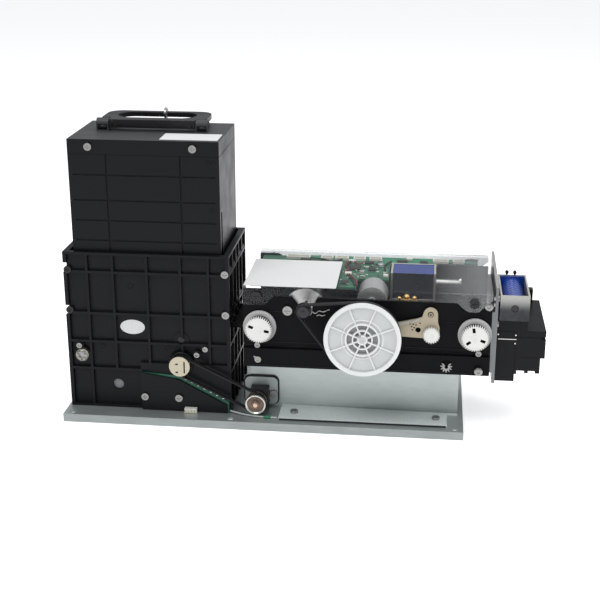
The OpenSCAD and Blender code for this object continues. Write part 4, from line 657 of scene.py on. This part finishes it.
# Dark wedges painted as the shade in the bush's slots
bm = bmesh.new()
for a in (30, 150, 270):
    c, s = math.cos(math.radians(a)), math.sin(math.radians(a))
    wedge = [(0.9 * (c - s), 0.9 * (s + c)), (1.6 * c, 1.6 * s), (0.9 * (c + s), 0.9 * (s - c))]
    put_plate(bm, moved(wedge, BUSH_X + 1.7 * c, BUSH_Z + 1.7 * s), on_near(BUSH_Y - 0.92), 0.12)
piece("bush_slots", bm, joint_and_hollow_shade, "chassis")
# Components along the board's free edge
bm = bmesh.new()
for k in range(7):
    t = 0.12 + 0.12 * k
    u, v = -60 + t * 37.4, 33.2 - t * 19.0
    put_box(bm, (u - 0.7, u + 0.7), (-39.75, -39.2), (v - 0.3, v + 0.3), 0.08)
piece("stacker_board_parts", bm, solder, "chassis")
PLUG_Y = span("board_connectors", 1)[0]
bm = bmesh.new()
for x in (-56.2, -53.9, -51.6, -49.3):
    put_strip(bm, (x - 0.35, x + 0.35), (7.0, 9.2), PLUG_Y, 0.2, 0.1, 0.1)
put_strip(bm, (-57.2, -47.3), (6.1, 6.9), PLUG_Y, 0.05, 0.3, 0.15)
piece("stacker_connector_pins", bm, cream, "chassis")
# Collar behind the cream disc
bm = bmesh.new()
put_lathe(bm, (DISC_X, -38.0, DISC_Z), NEAR, [(0, 9.2), (1.5, 9.0), (2.0, 8.4), (2.0, 6.6), (0, 6.6)], 44)
piece("disc_collar", bm, black, "chassis")

# ---- Cassette ----
MARK_X, MARK_Z = -34.6, 155.9
bm = bmesh.new()
put_lathe(bm, (MARK_X, 0.02 - CASE_Y, MARK_Z), NEAR, [(0, 1.9), (0.25, 1.8), (0.25, 1.2), (0, 1.1)], 28)
put_strip(bm, (-37.4, -36.0), (187.9, 190.6), -CASE_Y, 0.25, 0.1, 0.12)
put_strip(bm, (-33.6, -32.2), (187.9, 190.6), -CASE_Y, 0.25, 0.1, 0.12)
put_strip(bm, (-35.5, -34.1), (188.6, 189.9), -CASE_Y, 0.25, 0.1, 0.12)
piece("cassette_marks", bm, case, "cassette")
# Dark disc painted as the shade in the mark's hole
bm = bmesh.new()
put_lathe(bm, (MARK_X, 0.03 - CASE_Y, MARK_Z), NEAR, [(0, 1.1), (0.04, 0)], 20)
piece("cassette_hole", bm, joint_and_hollow_shade, "cassette")
# Seam between lid and body, all round
SEAM_Z = (CASE_TOP - 0.2, CASE_TOP + 0.18)
SEAM_OUT = CASE_Y + 0.02
SEAM_IN = 0.999 * SEAM_OUT
bm = bmesh.new()
for y in ((-SEAM_OUT, -SEAM_IN), (SEAM_IN, SEAM_OUT)):
    put_box(bm, (CASE_X[0] + 0.05, CASE_X[1] - 0.05), y, SEAM_Z)
for x in (CASE_X[0] - 0.02, CASE_X[1] + 0.02):
    put_box(bm, (x - 0.01, x + 0.01), (0.05 - CASE_Y, CASE_Y - 0.05), SEAM_Z)
piece("lid_seam", bm, joint_and_hollow_shade, "cassette")
# Pivot caps on the lugs and ribs on the handle's bar
CAP_PROFILE = [(-0.1, 2.6), (0.25, 2.4), (0.3, 1.7), (0.1, 1.5), (0.1, 0)]
HANDLE_X = span("handle", 0)
HANDLE_Y = span("handle", 1)[0]
bm = bmesh.new()
put_lathe(bm, (HANDLE_X[0] - 0.1, HINGE_Y, HINGE_Z), (-1, 0, 0), CAP_PROFILE, 24)
put_lathe(bm, (HANDLE_X[1] + 0.1, HINGE_Y, HINGE_Z), (1, 0, 0), CAP_PROFILE, 24)
for x in (HANDLE_X[0] + 4.35, HANDLE_X[1] - 4.35):
    put_box(bm, (x - 3.4, x + 3.4), (-3.14, -2.95), (204.6, 208.4), 0.3)
piece("lug_caps", bm, soft_black, "cassette")
bm = bmesh.new()
for x in (HANDLE_X[0] + 11.35, HANDLE_X[1] - 11.35):
    put_strip(bm, (x - 0.4, x + 0.4), (206.9, 211.2), HANDLE_Y, 0.18, 0.1, 0.08)
put_strip(bm, (-107, -57), (207.2, 208.0), HANDLE_Y, 0.16, 0.1, 0.25)
piece("handle_ribs", bm, soft_black, "carry_handle")

# ---- Feed drive ----
FEED_Y = span("feed_pulley", 1)[0]
RIM_PROFILE = [(0, 7.4), (0.45, 7.2), (0.55, 6.6), (0.2, 6.1), (0, 5.9)]
CUP_PROFILE = [(0, 5.5), (0.5, 5.2), (0.75, 4.5), (0.35, 3.9), (0.3, 3.1), (1.1, 2.8), (1.2, 1.7)]
bm = bmesh.new()
put_lathe(bm, (FEED_X, FEED_Y + 1.55, FEED_Z), NEAR, RIM_PROFILE, 44)
piece("feed_pulley_rim", bm, bright, "feed_output")
bm = bmesh.new()
put_lathe(bm, (FEED_X, FEED_Y + 1.5, FEED_Z), NEAR, CUP_PROFILE, 40)
piece("feed_pulley_cup", bm, bronze, "feed_output")
bm = bmesh.new()
put_lathe(bm, (FEED_X, FEED_Y + 0.35, FEED_Z), NEAR, [(-0.3, 1.62), (0.0, 1.6), (0.05, 1.35), (0.05, 0)], 28)
piece("feed_shaft_tip", bm, copper, "feed_output")
# Dark ring round the edge of the motor's mounting plate, a painted shadow gap
MOUNT_X, _, MOUNT_Z = middle("motor_mount_plate")
bm = bmesh.new()
outer, inner = round_rect(26.0, 23.4, 5.0), round_rect(23.6, 21.0, 3.9)
for a, b, c, d in zip(outer, outer[1:] + outer[:1], inner[1:] + inner[:1], inner):
    put_plate(bm, moved([a, b, c, d], MOUNT_X, MOUNT_Z + 0.2), on_near(-22.62), 0.9)
bmesh.ops.remove_doubles(bm, verts=bm.verts, dist=0.001)
piece("mount_plate_shadow_ring", bm, rubber, "chassis")
MOTOR_Y = span("feed_motor", 1)[0]
bm = bmesh.new()
for z in (11.2, 14.4, 17.6, 20.8):
    put_box(bm, (FEED_X - 5.65, FEED_X - 5.45), (MOTOR_Y + 0.6, MOTOR_Y + 7.5), (z, z + 0.8), 0.05)
put_strip(bm, (-8.6, 2.0), (20.2, 22.4), MOTOR_Y, 0.25, 0.05, 0.2)
put_lathe(bm, (FEED_X, MOTOR_Y + 0.05, FEED_Z), NEAR, [(0, 4.6), (0.9, 4.3), (0.9, 1.8)], 32)
piece("gear_head_details", bm, dark_metal, "chassis")

# ---- Sensor wire, its sleeve and the painted shadow strip along the foot ----


def bezier(points, t):
    points = [Vector(p) for p in points]
    while len(points) > 1:
        points = [a * (1 - t) + b * t for a, b in zip(points, points[1:])]
    return points[0]


WIRE_ROUTE = [(-23.6, -38.9, 7.6), (-20, -40.4, 7.4), (-14, -43.4, 7.0), (-4, -46, 6.8), (11.2, -45.6, 6.8)]
WIRE_RADIUS = 0.66
SLEEVE_FROM = 33
SLEEVE_PROFILE = [(0, 0.7), (0.4, 1.15), (1.6, 1.3), (3.6, 1.3), (4.9, 1.1), (5.3, 0.7)]
wire_path = [bezier(WIRE_ROUTE, k / 40) for k in range(41)]
bm = bmesh.new()
put_tube(bm, wire_path, WIRE_RADIUS, 12)
wire = piece("sensor_wire_jacket", bm, jacket, "chassis")
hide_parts("sensor_wire")
bm = bmesh.new()
put_lathe(bm, wire_path[SLEEVE_FROM], wire_path[40] - wire_path[SLEEVE_FROM], SLEEVE_PROFILE, 24)
piece("wire_sleeve", bm, green, "chassis")
FOOT_Y = span("transport_bracket", 1)[0]
BASE_TOP = span("base_plate", 2)[1]
# Dark strip along the foot's front edge: a painted shadow under the flange
bm = bmesh.new()
put_box(bm, (12.6, 131.8), (FOOT_Y - 1.2, FOOT_Y - 0.05), (BASE_TOP + 0.05, BASE_TOP + 0.95), 0.3)
piece("foot_shadow_strip", bm, rubber, "chassis")

# ---- Near side of the transport ----
bm = bmesh.new()
for z, h in ((64.2, 0.7), (61.4, 0.5)):
    put_strip(bm, (-10.5, 142.0), (z, z + h), SIDE_Y, 0.45, 0.05, 0.18)
put_strip(bm, (-8.0, 158.0), (47.2, 47.8), SLAB_Y, 0.35, 0.05, 0.18)
put_strip(bm, (6.0, 40.0), (86.9, 87.5), SIDE_Y, 0.4, 0.05, 0.18)
put_strip(bm, (126.5, 138.5), (84.0, 84.6), SIDE_Y, 0.4, 0.05, 0.18)
piece("side_ridges", bm, black, "chassis")
# Dark strips painted as the shade in a groove and in two recesses
bm = bmesh.new()
put_strip(bm, (-11.0, 159.0), (60.05, 60.9), SIDE_Y)
for u, v in ((7.3, 50.0), (120.8, 49.5)):
    put_strip(bm, (u - 1.0, u + 1.0), (v - 0.8, v + 0.8), SLAB_Y)
piece("side_recess_shade", bm, joint_and_hollow_shade, "chassis")
# Open lock washer in the slab's recess
WASHER_X, WASHER_Z = 130.3, 51.7
TOOTH = ((2.3, -0.62), (4.1, -0.30), (4.1, 0.30), (2.3, 0.62))
bm = bmesh.new()
for k in range(9):
    a = math.radians(140 + k * 32.5)
    c, s = math.cos(a), math.sin(a)
    outline = [(r * c - w * s, r * s + w * c) for r, w in TOOTH]
    put_plate(bm, moved(outline, WASHER_X, WASHER_Z), on_near(SLAB_Y), 0.45)
turn = [math.radians(135 + k * 9) for k in range(31)]
outline = [(2.6 * math.cos(a), 2.6 * math.sin(a)) for a in turn]
outline += [(1.3 * math.cos(a), 1.3 * math.sin(a)) for a in reversed(turn)]
put_plate(bm, moved(outline, WASHER_X, WASHER_Z), on_near(SLAB_Y), 0.5)
piece("lock_washer", bm, screw_steel, "chassis")
# Spring clip below the left gear
bm = bmesh.new()
put_lathe(bm, (-2.1, SLAB_Y, 51.4), NEAR, [(0, 2.5), (0.6, 2.3), (0.6, 1.2), (0.2, 1.1), (0.2, 0)], 28)
put_plate(bm, [(-5.4, 54.0), (-3.0, 53.6), (-1.4, 51.8), (-3.4, 50.8)], on_near(SLAB_Y), 0.4)
piece("spring_clip", bm, screw_steel, "chassis")
# Two socket screws at the right-hand end
bm = bmesh.new()
for u, v, y in ((157.6, 96.4, -43.6), (152.4, 49.9, -47.35)):
    put_lathe(bm, (u, y, v), NEAR, [(0, 3.0), (0.9, 2.9), (1.3, 2.3), (1.3, 1.1), (0.7, 0.9), (0.7, 0)], 32)
piece("socket_screws", bm, screw_steel, "chassis")
# Leads that run from the motor
LONG_LEAD = [(34.4, -43.75, 86.4), (36.2, -43.9, 87.9), (38.6, -43.8, 87.0), (41.0, -43.9, 88.9),
             (44.0, -43.8, 88.3), (48.6, -43.8, 90.4)]
SHORT_LEAD = [(39.4, -43.8, 85.2), (41.2, -43.9, 86.0), (43.2, -43.8, 85.3), (45.4, -43.8, 86.2)]
bm = bmesh.new()
put_tube(bm, smooth_path(LONG_LEAD, 6), 0.28, 8)
put_tube(bm, smooth_path(SHORT_LEAD, 6), 0.26, 8)
piece("motor_leads", bm, solder, "chassis")
# Lever: spring along its upper edge, perforations, pivot
LEVER_FACE = -46.6
LEVER_HOLES = ((104.2, 82.9), (106.4, 82.7), (108.4, 82.3), (105.4, 80.9), (107.2, 80.3), (105.9, 78.6),
               (111.2, 83.6))
bm = bmesh.new()
put_tube(bm, helix((96.8, -47.3, 82.6), (110.6, -47.3, 86.6), 1.15, 13), 0.24, 6)
piece("lever_spring", bm, bright, "lever")
# Dark discs painted as the shade in the lever's perforations and round its pivot
bm = bmesh.new()
put_lathe(bm, (LEVER_X, LEVER_FACE - 0.02, LEVER_Z), NEAR, [(0, 2.0), (0.06, 0)], 28)
for u, v in LEVER_HOLES:
    put_lathe(bm, (u, LEVER_FACE + 0.05, v), NEAR, [(0, 0.55), (0.06, 0)], 14)
piece("lever_holes", bm, joint_and_hollow_shade, "lever")
bm = bmesh.new()
put_lathe(bm, (LEVER_X, LEVER_FACE - 0.06, LEVER_Z), NEAR, [(0, 1.2), (0.5, 1.1), (0.7, 0.6), (0.7, 0)], 24)
piece("lever_pin_head", bm, dark_metal, "lever")
# Hub faces of the hand gears, the pinion and the wheel
GEAR_FACE = span("left_gear", 1)[0] + 0.02
PINION_FACE = span("pinion", 1)[0] + 0.02
BOSS_PROFILE = [(0, 2.7), (0.35, 2.5), (0.35, 1.4), (0.1, 1.3), (0.1, 0)]
PINION_PROFILE = [(0, 3.6), (0.3, 3.3), (0.3, 1.4), (0.05, 1.2), (0.05, 0)]
HUB_PROFILE = [(-0.2, 2.6), (0.25, 2.4), (0.3, 1.3), (0.0, 1.2), (0.0, 0)]
for name, x, body in (("left_gear_hub", LEFT_X, "left"), ("right_gear_hub", RIGHT_X, "right")):
    bm = bmesh.new()
    put_lathe(bm, (x, GEAR_FACE, AXIS_Z), NEAR, BOSS_PROFILE, 28)
    put_lathe(bm, (x, GEAR_FACE, AXIS_Z), NEAR, [(0, 8.0), (0.16, 7.9), (0.16, 7.6), (0, 7.5)], 44)
    piece(name, bm, gear_white, body)
bm = bmesh.new()
put_lathe(bm, (THIRD_X, PINION_FACE, AXIS_Z), NEAR, PINION_PROFILE, 28)
piece("pinion_hub", bm, gear_white, "third")
bm = bmesh.new()
put_lathe(bm, (CENTRE_X, WHEEL_Y + 0.02, AXIS_Z), NEAR, [(0, 26.0), (0.3, 25.4), (0.3, 24.4), (0, 24.0)], 96)
put_lathe(bm, (CENTRE_X, DISH_Y + 0.02, AXIS_Z), NEAR, [(0, 14.6), (0.5, 14.2), (0.5, 13.6), (0, 13.4)], 72)
piece("wheel_rings", bm, white, "centre")
bm = bmesh.new()
put_lathe(bm, (CENTRE_X, WHEEL_Y, AXIS_Z), NEAR, HUB_PROFILE, 28)
piece("wheel_hub", bm, wheel_dish, "centre")
bm = bmesh.new()
put_strip(bm, (CENTRE_X - 3.1, CENTRE_X - 0.9), (AXIS_Z + 1.6, AXIS_Z + 3.6), WHEEL_Y, 0.06, 0.1, 0.05)
piece("wheel_hub_window", bm, wheel_slot, "centre")

# ---- Board, parts and wires under the clear cover ----
rng = random.Random(11)
# Middle of each chip, its width and its depth
CHIPS = ((61.5, 14, 9, 9), (72, 27, 7, 5), (24, 30, 8, 5), (74.5, 12, 5, 7), (96, 33, 8, 4), (112, 32, 6, 5),
         (57, -20, 5, 8))
CHIP_PITCH = 1.3
SMALL_SIZES = [(1.6, 0.8), (0.8, 1.6), (2.2, 1.3), (1.0, 0.6)]
# Start of each plug along the board, from the cover's left end, and its width
PLUGS = ((21, 18), (47, 9.2), (57.6, 10.2), (71.5, 9.1), (83.4, 9.3), (130.6, 11.7), (145.3, 8.7))
PLUG_PITCH, PLUG_WALL = 1.9, 1.5
bm_chip, bm_pin, bm_small = bmesh.new(), bmesh.new(), bmesh.new()


def put_part(target, x, y, w, d, low, high, bevel=0.0):
    """Box on the main board, from low to high above its face."""
    height = (BOARD_TOP + low, BOARD_TOP + high)
    put_box(target, (x - w / 2, x + w / 2), (y - d / 2, y + d / 2), height, bevel)


for x, y, w, d in CHIPS:
    put_part(bm_chip, x, y, w, d, 0.3, 1.1, 0.15)
    for k in range(int(w / CHIP_PITCH)):
        px = x - w / 2 + 0.8 + k * CHIP_PITCH
        for s in (-1, 1):
            put_part(bm_pin, px, y + s * (d / 2 + 0.5), 0.5, 1.0, 0.02, 0.4)
for k in range(110):
    x, y = rng.uniform(54, 119), rng.uniform(-27, 31)
    by_latch = x > 86 and y < 28
    by_motor = x > 64 and y < -8
    if by_latch or by_motor:
        continue
    w, d = rng.choice(SMALL_SIZES)
    put_part(rng.choice([bm_small, bm_small, bm_chip]), x, y, w, d, 0.01, 0.6, 0.08)
for start, w in PLUGS:
    n = int(w / PLUG_PITCH)
    for k in range(n):
        px = COVER_X[0] + start + PLUG_WALL + k * (w - 2 * PLUG_WALL) / max(1, n - 1)
        put_box(bm_pin, (px - 0.22, px + 0.22), (34.8, 35.3), (BOARD_TOP + 0.5, 104.1))
piece("board_chips", bm_chip, chip, "chassis")
piece("board_pins", bm_pin, solder, "chassis")
piece("board_small_parts", bm_small, connector_white, "chassis")
bm = bmesh.new()
for x, y, r in ((80.5, 21, 2.2), (67.5, 3.5, 1.8), (80.0, 31.0, 1.8)):
    profile = [(0, r), (0.4, r), (0.6, r * 0.9), (0.8, r), (1.7, r), (1.9, r * 0.85), (1.9, 0)]
    put_lathe(bm, (x, y, BOARD_TOP), (0, 0, 1), profile, 24)
piece("board_capacitors", bm, can, "chassis")
bm = bmesh.new()
put_box(bm, (55.6, 60.6), (-3.6, 0.8), (BOARD_TOP + 0.05, 104.2), 0.3)
put_box(bm, (83.4, 87.0), (-5.6, -2.8), (BOARD_TOP + 0.05, 104.3), 0.3)
put_box(bm, (56.2, 61.4), (27.2, 30.2), (BOARD_TOP + 0.05, 104.2), 0.25)
put_box(bm, (99.0, 103.4), (36.0, 39.0), (BOARD_TOP + 0.05, 104.2), 0.25)
piece("board_sockets", bm, connector_white, "chassis")
# Each wire is its route and its radius
RED_WIRES = (([(57.0, 29.0, 103.4), (54.6, 20, 103.0), (57.4, 9, 103.3), (55.4, 1.0, 103.5)], 0.55),
             ([(58.6, -2.6, 103.3), (61.6, -9, 103.2), (64.6, -17, 103.3), (66.2, -27, 103.0)], 0.55),
             ([(60.6, 28.6, 103.4), (63.4, 22, 103.2), (67.0, 24, 103.6)], 0.5))
DARK_WIRES = (([(58.6, 29.0, 103.4), (56.4, 20, 103.2), (59.4, 9, 103.2), (57.4, 1.0, 103.5)], 0.55),
              ([(57.4, -2.6, 103.3), (59.8, -10, 103.2), (63.0, -18, 103.2), (64.6, -28, 103.0)], 0.55),
              ([(52.0, 33, 103.4), (44.0, 27, 103.2), (36.0, 31, 103.3), (25.0, 33.5, 103.4)], 0.6),
              ([(88.0, 30, 103.4), (85.0, 26, 103.0), (83.5, 20, 102.8), (84.5, 10, 102.8)], 0.6))
for name, routes, mat in (("wires_red", RED_WIRES, red_wire), ("wires_dark", DARK_WIRES, black_wire)):
    bm = bmesh.new()
    for route, radius in routes:
        put_tube(bm, smooth_path(route, 8), radius, 8)
    piece(name, bm, mat, "chassis")
# Return spring of the latch, between its frame and the plunger's end
LATCH_END = span("latch_frame", 0)[1]
SPRING_FROM = (LATCH_END + 0.4, LATCH_Y, LATCH_Z)
SPRING_TO = (LATCH_END + 16.7, LATCH_Y, LATCH_Z)
bm = bmesh.new()
put_tube(bm, helix(SPRING_FROM, SPRING_TO, 3.1, 11, 16), 0.34, 6)
latch_spring = piece("latch_spring", bm, bright, "chassis")
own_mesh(latch_spring)
# Gold contacts on their block under the cover's near edge
bm = bmesh.new()
for x, r, h in ((96.2, 2.0, 3.6), (101.2, 2.9, 5.4), (106.6, 2.2, 4.2)):
    profile = [(0, r), (h * 0.4, r), (h * 0.45, r * 0.7), (h * 0.8, r * 0.7), (h, r * 0.4), (h, 0)]
    put_lathe(bm, (x, -37, 95.6), (0, 0, 1), profile, 20)
put_box(bm, (94.0, 108.7), (-39.6, -34.6), (94.2, 95.6), 0.3)
piece("contact_block", bm, gold, "chassis")
bm = bmesh.new()
put_box(bm, (93.4, 110.0), (-39.8, -29.0), (86.0, 94.2), 0.5)
piece("contact_carrier", bm, black, "chassis")

# ---- Front ----
bm = bmesh.new()
put_strip(bm, (165.4, 178.2), (69.3, 69.9), BEZEL_Y, 0.4, 0.05, 0.12)
for u, v in ((165.4, 72.9), (177.6, 72.7), (177.4, 66.5)):
    put_lathe(bm, (u, BEZEL_Y + 0.05, v), NEAR, [(0, 0.6), (0.35, 0.5), (0.4, 0)], 16)
piece("bezel_strip", bm, bright, "chassis")
bm = bmesh.new()
put_strip(bm, (178.0, 195.2), (71.1, 71.5), BEZEL_Y)
put_strip(bm, (163.95, 177.8), (75.2, 75.6), BEZEL_Y)
put_box(bm, (177.75, 178.05), (BEZEL_Y - 0.06, 0.06 - BEZEL_Y), (44.0, 75.8))
put_strip(bm, (182.0, 198.3), (56.0, 56.4), BEZEL_Y)
piece("bezel_seams", bm, joint_and_hollow_shade, "chassis")
# Shutter solenoid: terminals, core's end and the turns of tape round the coil
bm = bmesh.new()
for x in (171.4, 177.0):
    put_box(bm, (x - 0.5, x + 0.5), (3.4, 4.2), (104.4, 107.4), 0.15)
    put_lathe(bm, (x, 3.8, 106.6), NEAR, [(-0.9, 1.3), (0.9, 1.3), (1.0, 0.6), (1.0, 0)], 20)
piece("solenoid_terminals", bm, dark_metal, "chassis")
bm = bmesh.new()
put_lathe(bm, (CORE_X, -43.0, CORE_Z), NEAR, [(-1.2, 2.5), (-0.4, 2.5), (-0.35, 1.6), (-0.6, 0)], 28)
piece("solenoid_core_end", bm, dark_metal, "chassis")
WRAP_FROM, WRAP_PITCH = -36.5, 5.2
bm = bmesh.new()
for k in range(7):
    y = WRAP_FROM + k * WRAP_PITCH
    put_lathe(bm, (CORE_X, y, CORE_Z), (0, 1, 0), [(0, 7.46), (0.5, 7.62), (4.3, 7.62), (4.8, 7.46)], 56)
piece("coil_wraps", bm, royal, "chassis")
bm = bmesh.new()
for v in (100.5, 82.5):
    put_lathe(bm, (163.85, -38.5, v), (1, 0, 0), [(0, 2.4), (1.1, 2.3), (1.4, 1.4), (1.4, 0)], 24)
for v in (102.5, 98.0):
    put_box(bm, (160.6, 161.95), (-43.9, -43.0), (v - 1.3, v + 1.3), 0.3)
piece("plate_screws", bm, screw_steel, "chassis")
# Folded lips along the cover's two long edges
LIP_X = (COVER_X[0] + 0.4, COVER_X[1] - 0.4)
LIP_Z = (COVER_TOP - 0.8, COVER_TOP - 0.05)
bm = bmesh.new()
put_box(bm, LIP_X, (-45.38, -45.0), LIP_Z, 0.3)
put_box(bm, LIP_X, (45.0, 45.38), LIP_Z, 0.3)
piece("cover_edge", bm, clear, "chassis")

# ---- Floor ----
FLOOR_HALF, FLOOR_DROP = 9000, 0.2
pale = material("pale_floor", (0.86, 0.86, 0.86), 0.8, spec=0.1, grain=30, spread=0.01, bump=0.02, edge=0)
glow = pale.node_tree.nodes["Principled BSDF"]
glow.inputs["Emission Color"].default_value = (1, 1, 1, 1)
glow.inputs["Emission Strength"].default_value = 0.50
bm = bmesh.new()
bmesh.ops.create_grid(bm, x_segments=2, y_segments=2, size=FLOOR_HALF)
bmesh.ops.scale(bm, vec=(MM, MM, MM), verts=bm.verts)
mesh = bpy.data.meshes.new("floor")
bm.to_mesh(mesh)
bm.free()
mesh.materials.append(pale)
floor = bpy.data.objects.new("floor", mesh)
floor.location.z = -FLOOR_DROP * MM
scene.collection.objects.link(floor)
